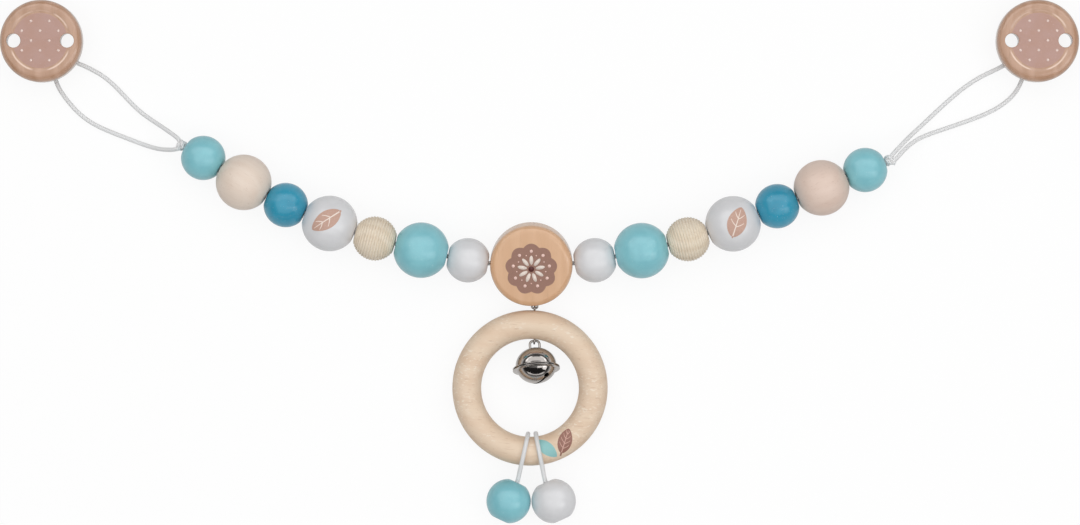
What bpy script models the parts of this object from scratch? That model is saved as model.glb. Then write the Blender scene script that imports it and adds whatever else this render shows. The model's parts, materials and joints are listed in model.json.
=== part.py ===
# Pram chain toy: two clips, cord loops, a strung row of wooden beads, and a disc
# that carries a wooden ring with a bell and two bead pendants.
# It lies flat on a table, seen from above. Units are metres, +Z is up, the table is z = 0,
# and the origin is under the middle of the toy's outline.

import math

import bmesh
import bpy
from mathutils import Matrix, Vector

# Fit between pieces that touch, and how far a cutter runs past the face it cuts
SEAT_GAP = 0.0003
CUT_OVERRUN = 0.001

# Turned wooden beads
SMALL_BEAD_DIAMETER = 0.020
BIG_BEAD_DIAMETER = 0.025
SMALL_BEAD_LENGTH = 0.0183
BIG_BEAD_LENGTH = 0.0236
BEAD_BORE = 0.0042
BEAD_SPACING_GAP = 0.0005
SMALL_BEAD_DROP = 0.0005
BIG_BEAD_LIFT = 0.0005
GROOVE_COUNT = 13
GROOVE_DEPTH = 0.00035

# Cords
CHAIN_CORD_DIAMETER = 0.0019
PENDANT_CORD_DIAMETER = 0.0019
TABLE_GAP = 0.0001
KNOT_LENGTH = 0.0040
KNOT_DIAMETER = 0.0052
KNOT_LOBE_SHARE = 0.14
KNOT_FLAT_END_SHARE = 1.25

# Disc in the middle of the chain
CENTRE_DISC_DIAMETER = 0.037
CENTRE_DISC_THICKNESS = 0.013
CENTRE_DISC_EDGE = 0.003
CENTRE_DISC_BORE = 0.0046
CENTRE_DISC_TILT = math.radians(12.5)
CENTRE_DISC_X = -0.0036
CENTRE_DISC_Y = -0.0013

# Wire fittings between disc, ring and bell
FITTING_WIRE = 0.0009
STAPLE_WIDTH = 0.0034
STAPLE_CORNER = 0.0009
STAPLE_REACH = 0.00195
STAPLE_DEPTH = 0.006
EYE_RADIUS = 0.0012
EYE_NECK = 0.0011
EYE_SHANK_DEPTH = 0.0036
EYE_OPENING = math.radians(38)
EYE_BEND_DOWN_SHARE = 0.45
EYE_BEND_SIDE_SHARE = 0.22
FITTING_X = -0.0021
COUNTERSINK_DIAMETER = 0.0042
COUNTERSINK_DEPTH = 0.0011
COUNTERSINK_STRAIGHT_SHARE = 0.33

# Wooden ring
RING_DIAMETER = 0.070
RING_TUBE = 0.013
RING_X = -0.0042

# Bell
BELL_DIAMETER = 0.0184
BELL_HEIGHT = 0.0163
BELL_NECK = 0.0033
BELL_WALL = 0.0006
BELL_SEAM_DIAMETER = 0.0213
BELL_SEAM_LIP = 0.00045
BELL_SEAM_BELOW_MIDDLE = 0.0016
BELL_SLIT_WIDTH = 0.0010
BELL_SLIT_HOLE = 0.0026
BELL_SLIT_HOLE_ANGLE = math.radians(47)
BELL_SLIT_TOP_SHARE = 0.9
BELL_SLIT_TURN = math.radians(-45)
BELL_LEAN = math.radians(4)
BELL_EYE_PLACE = math.radians(2)
BAIL_WIDTH = 0.0054
BAIL_CORNER = 0.0016
BAIL_DEPTH_INSIDE = 0.0012
PELLET_DIAMETER = 0.005

# Pendants: the place of each round the ring from straight down, and how the pair hangs
PENDANT_PLACES = {"left": math.radians(-1.8), "right": math.radians(11.6)}
PENDANT_PAIR_LEAN = math.radians(-0.65)
PENDANT_STRAND_SPLAY = math.radians(11.75)
PENDANT_STRAND_REACH = 0.0147
PENDANT_LOOP_PLAY = 0.0004
PENDANT_LOOP_OVERTURN = math.radians(18)
PENDANT_FLARE_SHARE = 0.12
PENDANT_BORE = 0.0048
PENDANT_STRAND_SPREAD = 0.00215
PENDANT_KNOT_POCKET = 0.0064
PENDANT_KNOT_POCKET_DEPTH = 0.0046

# Clip at each end: wooden disc on top, sprung-steel parts under it
CLIP_DISC_DIAMETER = 0.037
CLIP_DISC_THICKNESS = 0.009
CLIP_DISC_EDGE = 0.0036
CLIP_DISC_LOWER_EDGE = 0.0012
CLIP_RIM_WIDTH = 0.0047
CLIP_RECESS_DIAMETER = CLIP_DISC_DIAMETER - 2 * CLIP_RIM_WIDTH
CLIP_RECESS_DEPTH = 0.0005
CLIP_RECESS_SLOPE = 0.0007
VENT_DIAMETER = 0.0062
VENT_INSET = 0.0018
VENT_SPACING = CLIP_RECESS_DIAMETER - 2 * VENT_INSET
SHEET = 0.0008
PLATE_WIDTH = 0.012
PLATE_TAIL = 0.0118
EAR_THICKNESS = 0.0008
EAR_LENGTH = 0.0046
JOGGLE_RUN = 0.0022
BAIL_BAR_HEIGHT = 0.0036
BAIL_BAR_WIDTH = 0.0014
BAIL_BAR_REACH = 0.0125
BAIL_SLOT_LENGTH = 0.009
BAIL_SLOT_WIDTH = 0.0028
BAIL_END_CORNER = 0.0012
HINGE_PIN_DIAMETER = 0.0016
HINGE_PIN_HEAD = 0.0026
HINGE_PIN_HEAD_THICKNESS = 0.0007
HINGE_PIN_CROWN_SHARE = 0.6
HINGE_SETBACK = 0.008
HINGE_PLAY = 0.0003
CAM_LOBE = 0.0003
CAM_START = math.radians(30)
CAM_END = math.radians(20)
LEVER_WIDTH = 0.0090
LEVER_TAIL = 0.0165
LEVER_FINGER_LENGTH = 0.0016
LEVER_FINGER_LIFT = 0.0009
PAD_LENGTH = 0.0060
PAD_THICKNESS = 0.0013
PAD_TEETH = 5
PAD_TOOTH_DEPTH = 0.0004
RIVET_SHANK = 0.0024
RIVET_HEAD = 0.0044
RIVET_HEAD_THICKNESS = 0.0008
RIVET_DEPTH = 0.0052

# Facets: round a turned piece, along its outline, and along a bend
BEAD_SIDES = 16
BEAD_RINGS = 6
DISC_SIDES = 28
DISC_UPPER_EDGE_STEPS = 4
DISC_LOWER_EDGE_STEPS = 3
RING_SECTION_SIDES = 10
BELL_SIDES = 16
BELL_RINGS = 5
KNOT_SIDES = 12
KNOT_RINGS = 8
SMALL_SIDES = 12
WIRE_HOLE_SIDES = 8
WIRE_BEND_STEPS = 4
EYE_STEPS = 14
PENDANT_LOOP_STEPS = 14
KNUCKLE_STEPS = 4
NOSE_STEPS = 6
KNUCKLE_HOLLOW_STEPS = 10
SMOOTH_SHADING_ANGLE = math.radians(35)

# The chain's pieces from the disc outward, and the way each one points on the table
CHAIN_ORDER = (
    ("white_bead", "small"),
    ("light_teal_bead", "big"),
    ("grooved_bead", "small"),
    ("leaf_bead", "big"),
    ("deep_blue_bead", "small"),
    ("natural_bead", "big"),
    ("end_teal_bead", "small"),
)
CHAIN_HEADINGS_DEG = {
    "left": (10.5, 13.5, 15.0, 21.0, 25.0, 31.0, 31.0),
    "right": (10.5, 12.5, 15.5, 21.5, 22.0, 23.0, 21.0),
}
CLIP_HEADINGS_DEG = {"left": -54.0, "right": -126.0}

# Cord loops: chosen points of each strand from its knot to its clip, each one its
# distance east and north of the knot and its height over the table
LOOP_UPPER_STRANDS = {
    "left": (
        (-0.0017, 0.0029, 0.0095), (-0.0044, 0.0051, 0.0082), (-0.0101, 0.0088, 0.0045),
        (-0.0158, 0.0125, 0.0019), (-0.0197, 0.0152, 0.0012), (-0.0252, 0.0208, 0.0011),
        (-0.0307, 0.0266, 0.0011), (-0.0352, 0.0308, 0.0011), (-0.0404, 0.0338, 0.0015),
        (-0.0452, 0.0362, 0.0030), (-0.0490, 0.0378, 0.0047),
    ),
    "right": (
        (0.0019, 0.0031, 0.0095), (0.0056, 0.0069, 0.0080), (0.0094, 0.0108, 0.0052),
        (0.0157, 0.0163, 0.0019), (0.0214, 0.0217, 0.0011), (0.0267, 0.0265, 0.0011),
        (0.0320, 0.0312, 0.0011), (0.0373, 0.0352, 0.0011), (0.0434, 0.0389, 0.0015),
        (0.0490, 0.0414, 0.0031), (0.0530, 0.0433, 0.0047),
    ),
}
LOOP_LOWER_STRANDS = {
    "left": (
        (-0.0030, -0.0020, 0.0095), (-0.0066, -0.0023, 0.0074), (-0.0115, -0.0016, 0.0035),
        (-0.0158, -0.0004, 0.0015), (-0.0188, 0.0006, 0.0011), (-0.0232, 0.0024, 0.0011),
        (-0.0307, 0.0052, 0.0011), (-0.0376, 0.0081, 0.0011), (-0.0431, 0.0111, 0.0011),
        (-0.0478, 0.0149, 0.0011), (-0.0514, 0.0189, 0.0011), (-0.0547, 0.0232, 0.0011),
        (-0.0572, 0.0270, 0.0011), (-0.0584, 0.0306, 0.0013),
    ),
    "right": (
        (0.0030, 0.0008, 0.0095), (0.0068, 0.0047, 0.0078), (0.0100, 0.0077, 0.0056),
        (0.0144, 0.0105, 0.0029), (0.0200, 0.0127, 0.0013), (0.0258, 0.0146, 0.0011),
        (0.0318, 0.0167, 0.0011), (0.0375, 0.0187, 0.0011), (0.0441, 0.0212, 0.0011),
        (0.0490, 0.0236, 0.0011), (0.0541, 0.0269, 0.0011), (0.0577, 0.0304, 0.0011),
        (0.0601, 0.0340, 0.0011), (0.0615, 0.0376, 0.0013),
    ),
}
CLIP_FROM_KNOT = {"left": (-0.0629, 0.0466), "right": (0.0667, 0.0539)}
LOOP_TURN_REACH = 0.0036
LOOP_TURN_STEPS = 9
CURVE_STEPS = 16
CORD_STEP_DIAMETERS = 2.5
LOOP_TURN_STEP_DIAMETERS = 0.6
PENDANT_STEP_DIAMETERS = 1.5
CHAIN_CORD_STEP_DIAMETERS = 3.6
CORD_GUIDE_SHARE = 0.8

# Finishes: red, green and blue, then roughness and metallic
FINISHES = {
    "white": (0.74, 0.74, 0.75, 0.45, 0.0),
    "light_teal": (0.20, 0.54, 0.60, 0.45, 0.0),
    "deep_blue": (0.06, 0.30, 0.46, 0.45, 0.0),
    "natural": (0.78, 0.64, 0.53, 0.45, 0.0),
    "ring_wood": (0.77, 0.61, 0.46, 0.45, 0.0),
    "tan_wood": (0.68, 0.41, 0.23, 0.45, 0.0),
    "clip_wood": (0.55, 0.34, 0.23, 0.45, 0.0),
    "cord": (0.75, 0.75, 0.75, 0.9, 0.0),
    "steel": (0.60, 0.60, 0.62, 0.3, 1.0),
    "nickel": (0.66, 0.65, 0.64, 0.12, 1.0),
    "pad_plastic": (0.80, 0.80, 0.78, 0.5, 0.0),
}


def clear_scene():
    for item in list(bpy.data.objects):
        bpy.data.objects.remove(item, do_unlink=True)


def finish_of(name):
    """The named finish as a Principled material, made once."""
    material = bpy.data.materials.get(name)
    if material is None:
        *colour, roughness, metallic = FINISHES[name]
        material = bpy.data.materials.new(name)
        material.use_nodes = True
        shader = material.node_tree.nodes["Principled BSDF"]
        shader.inputs["Base Color"].default_value = (*colour, 1.0)
        shader.inputs["Roughness"].default_value = roughness
        shader.inputs["Metallic"].default_value = metallic
        material.diffuse_color = (*colour, 1.0)
    return material


def place(item, parent=None, matrix=None):
    bpy.context.collection.objects.link(item)
    item.parent = parent
    item.matrix_local = matrix or Matrix.Identity(4)
    return item


def pivot(name, matrix, parent=None):
    empty = bpy.data.objects.new(name, None)
    empty.empty_display_size = SMALL_BEAD_DIAMETER
    return place(empty, parent, matrix)


def solid(name, shape, material, parent=None, matrix=None):
    """One closed body from a bmesh, with round stretches shaded smooth."""
    bmesh.ops.remove_doubles(shape, verts=shape.verts, dist=SEAT_GAP / 1000)
    bmesh.ops.recalc_face_normals(shape, faces=shape.faces)
    mesh = bpy.data.meshes.new(name)
    shape.to_mesh(mesh)
    shape.free()
    mesh.materials.append(material)
    mesh.shade_smooth()
    mesh.set_sharp_from_angle(angle=SMOOTH_SHADING_ANGLE)
    return place(bpy.data.objects.new(name, mesh), parent, matrix)


def turned(outline, sides):
    """A lathe shape round Z from a closed outline of (radius, height) points."""
    shape = bmesh.new()
    rings = []
    for radius, height in outline:
        if radius == 0:
            rings.append([shape.verts.new((0, 0, height))] * sides)
            continue
        angles = [2 * math.pi * step / sides for step in range(sides)]
        rings.append([
            shape.verts.new((radius * math.cos(a), radius * math.sin(a), height))
            for a in angles
        ])
    for upper, lower in zip(rings, rings[1:] + rings[:1]):
        for step in range(sides):
            following = (step + 1) % sides
            corners = [upper[step], upper[following], lower[following], lower[step]]
            corners = [c for i, c in enumerate(corners) if c not in corners[:i]]
            if len(corners) > 2:
                shape.faces.new(corners)
    return shape


def extruded(outline, width):
    """A flat outline of (x, z) points, given thickness evenly to both sides along Y."""
    shape = bmesh.new()
    near = [shape.verts.new((x, -width / 2, z)) for x, z in outline]
    far = [shape.verts.new((x, width / 2, z)) for x, z in outline]
    shape.faces.new(near)
    shape.faces.new(far[::-1])
    for i in range(len(outline)):
        j = (i + 1) % len(outline)
        shape.faces.new((near[i], far[i], far[j], near[j]))
    return shape


def block(low, high):
    shape = bmesh.new()
    bmesh.ops.create_cube(shape, size=1)
    for vert in shape.verts:
        for axis in range(3):
            vert.co[axis] = low[axis] if vert.co[axis] < 0 else high[axis]
    return shape


def rod(radius, length, sides=SMALL_SIDES):
    """A plain round rod along Z, centred on its middle."""
    return turned(
        [(0, length / 2), (radius, length / 2), (radius, -length / 2), (0, -length / 2)],
        sides,
    )


def boolean(target, shape, matrix=None, operation="DIFFERENCE"):
    """Cuts a shape from the target, or joins it on, in the target's own frame."""
    cutter = solid(target.name + "_tool_" + str(len(target.modifiers)), shape,
                   target.data.materials[0], target, matrix)
    cutter.hide_render = True
    cutter.display_type = "WIRE"
    change = target.modifiers.new("cut", "BOOLEAN")
    change.object = cutter
    change.operation = operation
    change.solver = "EXACT"


def arc(centre, radius, start, end, steps):
    """Points of an arc in an outline, angles in radians."""
    return [
        (centre[0] + radius * math.cos(start + (end - start) * i / steps),
         centre[1] + radius * math.sin(start + (end - start) * i / steps))
        for i in range(steps + 1)
    ]


def smooth_curve(route):
    """Close points on one smooth curve through the route's own points."""
    points = [Vector(p) for p in route]
    last = len(points) - 1
    fine = []
    for i in range(last):
        a, b, c, d = (points[min(max(i + k, 0), last)] for k in (-1, 0, 1, 2))
        for step in range(CURVE_STEPS):
            t = step / CURVE_STEPS
            fine.append(
                b + (c - a) * (t / 2) + (a - b * 5 / 2 + c * 2 - d / 2) * t * t
                + (b * 3 - a - c * 3 + d) * (t * t * t / 2)
            )
    return [*fine, points[-1]]


def evenly_spaced(fine, spacing):
    """Points at about this spacing along close points, both ends included."""
    travelled = [0.0]
    for before, after in zip(fine, fine[1:]):
        travelled.append(travelled[-1] + (after - before).length)
    pieces = max(2, round(travelled[-1] / spacing))
    found, k = [], 0
    for i in range(pieces + 1):
        wanted = travelled[-1] * i / pieces
        while k < len(fine) - 2 and travelled[k + 1] < wanted:
            k += 1
        share = (wanted - travelled[k]) / (travelled[k + 1] - travelled[k])
        found.append(fine[k].lerp(fine[k + 1], share))
    return found


def smooth_path(route, spacing):
    return evenly_spaced(smooth_curve(route), spacing)


def tube(name, points, diameter, material, parent=None, matrix=None):
    """A round cord or wire along the points, with filled ends."""
    curve = bpy.data.curves.new(name, "CURVE")
    curve.dimensions = "3D"
    curve.bevel_depth = diameter / 2
    curve.bevel_resolution = 2
    curve.use_fill_caps = True
    spline = curve.splines.new("POLY")
    spline.points.add(len(points) - 1)
    for target, point in zip(spline.points, points):
        target.co = (*point, 1)
    curve.materials.append(material)
    return place(bpy.data.objects.new(name, curve), parent, matrix)


# Beads

def bead_sizes(kind):
    if kind == "small":
        return SMALL_BEAD_DIAMETER / 2, SMALL_BEAD_LENGTH / 2
    return BIG_BEAD_DIAMETER / 2, BIG_BEAD_LENGTH / 2


def bead_end_radius(kind):
    radius, half = bead_sizes(kind)
    return math.sqrt(radius ** 2 - half ** 2)


def bead_outline(kind, bore):
    """A ball with flat ends and a bore, as (radius, height) points from end to end."""
    radius, half = bead_sizes(kind)
    end = math.acos(half / radius)
    angles = [end + (math.pi - 2 * end) * i / BEAD_RINGS for i in range(BEAD_RINGS + 1)]
    outer = [(radius * math.sin(a), radius * math.cos(a)) for a in angles]
    return [(bore / 2, half), *outer, (bore / 2, -half)]


def grooved_outline(bore):
    """The small bead with fine turned rings, a ridge and a groove in turn."""
    radius, half = bead_sizes("small")
    end = math.acos(half / radius)
    outer = []
    for i in range(2 * GROOVE_COUNT + 1):
        a = end + (math.pi - 2 * end) * i / (2 * GROOVE_COUNT)
        local = radius - (GROOVE_DEPTH if i % 2 else 0)
        outer.append((local * math.sin(a), radius * math.cos(a)))
    return [(bore / 2, half), *outer, (bore / 2, -half)]


def chain_points(side):
    """Centre, cord point, heading and kind of each bead, and where the last one ends."""
    sign = -1 if side == "left" else 1
    _, disc_height = disc_and_crown()
    first_lean = math.sin(math.radians(CHAIN_HEADINGS_DEG[side][0]))
    disc_clearance = bead_end_radius(CHAIN_ORDER[0][1]) * first_lean + SEAT_GAP - BEAD_SPACING_GAP
    first_mouth = CENTRE_DISC_DIAMETER / 2 + disc_clearance
    mouth = Vector((CENTRE_DISC_X + sign * first_mouth, CENTRE_DISC_Y, 0))
    heading_before = 0.0
    stations = []
    for index, degrees in enumerate(CHAIN_HEADINGS_DEG[side]):
        name, kind = CHAIN_ORDER[index]
        heading = math.radians(degrees)
        radius, half = bead_sizes(kind)
        between = (heading + heading_before) / 2
        along = Vector((sign * math.cos(heading), math.sin(heading), 0))
        step = Vector((sign * math.cos(between), math.sin(between), 0))
        centre = mouth + step * BEAD_SPACING_GAP + along * half
        mouth = centre + along * half
        heading_before = heading
        stations.append([name, kind, centre, along])
    upper_line = BIG_BEAD_DIAMETER / 2 - BIG_BEAD_LIFT
    lower_line = SMALL_BEAD_DIAMETER / 2 + SMALL_BEAD_DROP
    for index, station in enumerate(stations):
        end_bead = index in (0, len(stations) - 1)
        line = lower_line if end_bead else upper_line
        shift = -SMALL_BEAD_DROP if station[1] == "small" else BIG_BEAD_LIFT
        station.append(line)
        station[2] = Vector((station[2].x, station[2].y, line + shift))
    lines = [disc_height] + [s[4] for s in stations] + [2 * lower_line - upper_line]
    for index, station in enumerate(stations):
        rise = (lines[index + 2] - lines[index]) / 2
        run = SMALL_BEAD_LENGTH / 2 + BIG_BEAD_LENGTH / 2 + BEAD_SPACING_GAP
        station[3] = (station[3] + Vector((0, 0, rise / run))).normalized()
    last = stations[-1]
    tail = Vector((last[2].x, last[2].y, last[4])) + last[3] * (SMALL_BEAD_LENGTH / 2)
    return stations, tail, last[3]


def knot_centre(side):
    _, tail, along = chain_points(side)
    return tail + along * (KNOT_LENGTH / 2 + SEAT_GAP), along


def facing(along):
    """A rotation that turns local Z along a direction."""
    return Vector(along).to_track_quat("Z", "Y").to_matrix().to_4x4()


def knot(name, centre, along, length, width, parent=None):
    """A pulled-tight overhand knot: a round lump with three winding lobes."""
    shape = bmesh.new()
    bmesh.ops.create_uvsphere(shape, u_segments=KNOT_SIDES, v_segments=KNOT_RINGS, radius=1)
    for vert in shape.verts:
        turn = math.atan2(vert.co.y, vert.co.x)
        lobe = 1 - KNOT_LOBE_SHARE * (1 - math.cos(3 * turn + 2 * vert.co.z)) / 2
        flat = min(max(vert.co.z * KNOT_FLAT_END_SHARE, -1), 1)
        vert.co = Vector((vert.co.x * lobe * width / 2, vert.co.y * lobe * width / 2,
                          flat * length / 2))
    matrix = Matrix.Translation(centre) @ facing(along)
    return solid(name, shape, finish_of("cord"), parent, matrix)


def build_beads():
    meshes = {}
    for side in ("left", "right"):
        stations, _, _ = chain_points(side)
        for name, kind, centre, along, _ in stations:
            colour = {"white_bead": "white", "light_teal_bead": "light_teal",
                      "grooved_bead": "natural", "leaf_bead": "white",
                      "deep_blue_bead": "deep_blue", "natural_bead": "natural",
                      "end_teal_bead": "light_teal"}[name]
            matrix = Matrix.Translation(centre) @ facing(along)
            if name in meshes:
                place(bpy.data.objects.new(side + "_" + name, meshes[name]), None, matrix)
                continue
            grooved = name == "grooved_bead"
            outline = grooved_outline(BEAD_BORE) if grooved else bead_outline(kind, BEAD_BORE)
            bead = solid(side + "_" + name, turned(outline, BEAD_SIDES),
                         finish_of(colour), None, matrix)
            meshes[name] = bead.data


def build_chain_cord():
    """The cord through every bead and the disc, from knot to knot."""
    _, height = disc_and_crown()
    middle = Vector((CENTRE_DISC_X, CENTRE_DISC_Y, height))
    disc_part = Vector((CENTRE_DISC_DIAMETER / 2 * CORD_GUIDE_SHARE, 0, 0))
    sides = {}
    for side in ("left", "right"):
        stations, tail, _ = chain_points(side)
        sides[side] = []
        for _, kind, centre, along, line in stations:
            part = along * (bead_sizes(kind)[1] * CORD_GUIDE_SHARE)
            on_line = Vector((centre.x, centre.y, line))
            sides[side] += [on_line - part, on_line + part]
        sides[side].append(tail)
    route = [*reversed(sides["left"]), middle - disc_part, middle + disc_part, *sides["right"]]
    points = smooth_path(route, CHAIN_CORD_STEP_DIAMETERS * CHAIN_CORD_DIAMETER)
    tube("chain_cord", points, CHAIN_CORD_DIAMETER, finish_of("cord"))


# Disc, ring and their wire fittings

def eye_offset():
    """From the wood's surface out to the middle of a screw eye's loop."""
    return EYE_RADIUS + FITTING_WIRE / 2 + SEAT_GAP - COUNTERSINK_DEPTH


def ring_reach():
    """From the staple's crown to the ring's centre."""
    return eye_offset() + RING_DIAMETER / 2


def ring_yaw():
    """How far the ring hangs round from straight under the staple."""
    return math.asin((FITTING_X - RING_X) / ring_reach())


def pendant_heading(side):
    """The way a pendant's strands run from the ring, as a turn from straight down."""
    splay = PENDANT_STRAND_SPLAY if side == "right" else -PENDANT_STRAND_SPLAY
    return PENDANT_PAIR_LEAN + splay


def pendant_bead_turn():
    """How far a bead turns from its strands, so that the two beads lie side by side."""
    half_apart = (PENDANT_PLACES["right"] - PENDANT_PLACES["left"]) / 2
    hooks_apart = (RING_DIAMETER - RING_TUBE) * math.sin(half_apart)
    mouths_apart = hooks_apart + 2 * PENDANT_STRAND_REACH * math.sin(PENDANT_STRAND_SPLAY)
    beads_apart = SMALL_BEAD_DIAMETER + SEAT_GAP
    return math.asin((beads_apart - mouths_apart) / SMALL_BEAD_LENGTH) - PENDANT_STRAND_SPLAY


def pendant_wrap(side):
    """Radius of a pendant's loop round the ring, whose tube it crosses at a slant."""
    slant = pendant_heading(side) - PENDANT_PLACES[side] + ring_yaw()
    slanted_tube = RING_TUBE / 2 / math.cos(slant)
    return slanted_tube + PENDANT_LOOP_PLAY + PENDANT_CORD_DIAMETER / 2


def ring_tilt():
    """The ring lies on the table at its top and on the rear pendant strands at its foot."""
    hook_height = max(pendant_wrap(side) for side in PENDANT_PLACES)
    lift = hook_height + PENDANT_CORD_DIAMETER / 2 + TABLE_GAP - RING_TUBE / 2
    return math.asin(lift / (RING_DIAMETER - RING_TUBE))


def disc_and_crown():
    """The staple crown's place (y, z) and the disc centre's height above the table."""
    reach = CENTRE_DISC_DIAMETER / 2 + STAPLE_REACH
    crown_y = CENTRE_DISC_Y - reach * math.cos(CENTRE_DISC_TILT)
    back = RING_TUBE / 2 + eye_offset()
    crown_z = RING_TUBE / 2 - back * math.sin(ring_tilt())
    return (crown_y, crown_z), crown_z + reach * math.sin(CENTRE_DISC_TILT)


def disc_outline(radius, thickness, upper_edge, lower_edge, recess=None, hole=None):
    """A round disc's (radius, height) points from its top middle to its underside."""
    outline = [(0, thickness)]
    if recess:
        width, depth, slope = recess
        outline = [(0, thickness - depth), (width / 2 - slope, thickness - depth),
                   (width / 2, thickness)]
    outline += arc((radius - upper_edge, thickness - upper_edge), upper_edge,
                   math.pi / 2, 0, DISC_UPPER_EDGE_STEPS)
    outline += arc((radius - lower_edge, lower_edge), lower_edge,
                   0, -math.pi / 2, DISC_LOWER_EDGE_STEPS)
    if hole:
        outline += [(hole[0] / 2, 0), (hole[0] / 2, hole[1]), (0, hole[1])]
    else:
        outline += [(0, 0)]
    return outline


def build_centre_disc():
    _, height = disc_and_crown()
    hang = pivot("centre_disc_pivot", Matrix.Translation((CENTRE_DISC_X, CENTRE_DISC_Y, height))
                 @ Matrix.Rotation(CENTRE_DISC_TILT, 4, "X"))
    radius, thickness = CENTRE_DISC_DIAMETER / 2, CENTRE_DISC_THICKNESS
    shape = turned(disc_outline(radius, thickness, CENTRE_DISC_EDGE, CENTRE_DISC_EDGE),
                   DISC_SIDES)
    bmesh.ops.translate(shape, verts=shape.verts, vec=(0, 0, -thickness / 2))
    disc = solid("centre_disc", shape, finish_of("tan_wood"), hang)
    along_x = Matrix.Rotation(math.pi / 2, 4, "Y")
    boolean(disc, rod(CENTRE_DISC_BORE / 2, 2 * radius + 2 * CUT_OVERRUN, BEAD_SIDES), along_x)
    leg = STAPLE_WIDTH / 2 - FITTING_WIRE / 2
    shift = FITTING_X - CENTRE_DISC_X
    hole_length = STAPLE_DEPTH + SEAT_GAP + CUT_OVERRUN
    for sign in (-1, 1):
        middle = Vector((shift + sign * leg, hole_length / 2 - radius - CUT_OVERRUN, 0))
        boolean(disc, rod(FITTING_WIRE / 2 + SEAT_GAP, hole_length, WIRE_HOLE_SIDES),
                Matrix.Translation(middle) @ Matrix.Rotation(math.pi / 2, 4, "X"))
    crown = -radius - STAPLE_REACH
    foot = -radius + STAPLE_DEPTH
    left_bend = arc((shift - leg + STAPLE_CORNER, crown + STAPLE_CORNER), STAPLE_CORNER,
                    math.pi, 3 * math.pi / 2, WIRE_BEND_STEPS)
    right_bend = arc((shift + leg - STAPLE_CORNER, crown + STAPLE_CORNER), STAPLE_CORNER,
                     3 * math.pi / 2, 2 * math.pi, WIRE_BEND_STEPS)
    route = [(shift - leg, foot), *left_bend, *right_bend, (shift + leg, foot)]
    tube("disc_staple", [(x, y, 0) for x, y in route], FITTING_WIRE, finish_of("steel"), hang)


def eye_route(neck_end):
    """Eye in the YZ plane round its own centre, then a straight shank down -Y."""
    points = []
    for i in range(EYE_STEPS + 1):
        a = EYE_OPENING + (2 * math.pi - 2 * EYE_OPENING) * i / EYE_STEPS
        points.append((0, -EYE_RADIUS * math.cos(a), EYE_RADIUS * math.sin(a)))
    bend_down = EYE_RADIUS + EYE_NECK * EYE_BEND_DOWN_SHARE
    points.append((0, -bend_down, -EYE_RADIUS * EYE_BEND_SIDE_SHARE))
    points.append((0, -EYE_RADIUS - EYE_NECK, 0))
    points.append((0, -neck_end, 0))
    return points


def eye_reach():
    """From an eye's centre to the end of its shank in the wood."""
    return EYE_RADIUS + FITTING_WIRE / 2 + SEAT_GAP + EYE_SHANK_DEPTH


def ring_frame():
    """The ring's swinging frame: its origin in the staple's crown, -Y down the ring."""
    (crown_y, crown_z), _ = disc_and_crown()
    return (Matrix.Translation((FITTING_X, crown_y, crown_z))
            @ Matrix.Rotation(-ring_yaw(), 4, "Z") @ Matrix.Rotation(-ring_tilt(), 4, "X"))


def build_ring():
    swing = pivot("ring_pivot", ring_frame())
    tube_radius = RING_TUBE / 2
    centre_line = RING_DIAMETER / 2 - tube_radius
    mouth = eye_offset()
    ring_middle = -ring_reach()
    section = arc((centre_line, 0), tube_radius, 0, 2 * math.pi, RING_SECTION_SIDES)[:-1]
    ring = solid("wooden_ring", turned(section[::-1], DISC_SIDES), finish_of("ring_wood"), swing,
                 Matrix.Translation((0, ring_middle, 0)))
    half_wire = FITTING_WIRE / 2
    inner_edge = centre_line - tube_radius
    for name, face, sign in (("ring_screw_eye", RING_DIAMETER / 2, 1),
                             ("bell_screw_eye", inner_edge, -1)):
        eye_y = face + sign * mouth
        hole_length = EYE_SHANK_DEPTH + 2 * SEAT_GAP + CUT_OVERRUN
        hole_y = face + sign * (CUT_OVERRUN - hole_length / 2 - SEAT_GAP - COUNTERSINK_DEPTH)
        round_ring = Matrix.Rotation(0 if sign > 0 else -BELL_EYE_PLACE, 4, "Z")
        turn = Matrix.Rotation(-sign * math.pi / 2, 4, "X")
        boolean(ring, rod(half_wire + SEAT_GAP, hole_length, WIRE_HOLE_SIDES),
                round_ring @ Matrix.Translation((0, hole_y, 0)) @ turn)
        width = COUNTERSINK_DIAMETER / 2
        straight = COUNTERSINK_DEPTH * COUNTERSINK_STRAIGHT_SHARE
        sink = turned([(0, CUT_OVERRUN), (width, CUT_OVERRUN), (width, -straight),
                       (half_wire + 2 * SEAT_GAP, -COUNTERSINK_DEPTH - SEAT_GAP),
                       (0, -COUNTERSINK_DEPTH - SEAT_GAP)], SMALL_SIDES)
        boolean(ring, sink, round_ring @ Matrix.Translation((0, face, 0)) @ turn)
        upright = (Matrix.Translation((0, ring_middle, 0)) @ round_ring
                   @ Matrix.Translation((0, eye_y, 0)))
        if sign < 0:
            upright = upright @ Matrix.Rotation(math.pi, 4, "Z")
        tube(name, eye_route(eye_reach()), FITTING_WIRE, finish_of("steel"), swing, upright)
    hinge = inner_edge - mouth
    bell_hinge = (hinge * math.sin(BELL_EYE_PLACE),
                  ring_middle + hinge * math.cos(BELL_EYE_PLACE), 0)
    return ring_middle, centre_line, bell_hinge


# Bell

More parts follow.
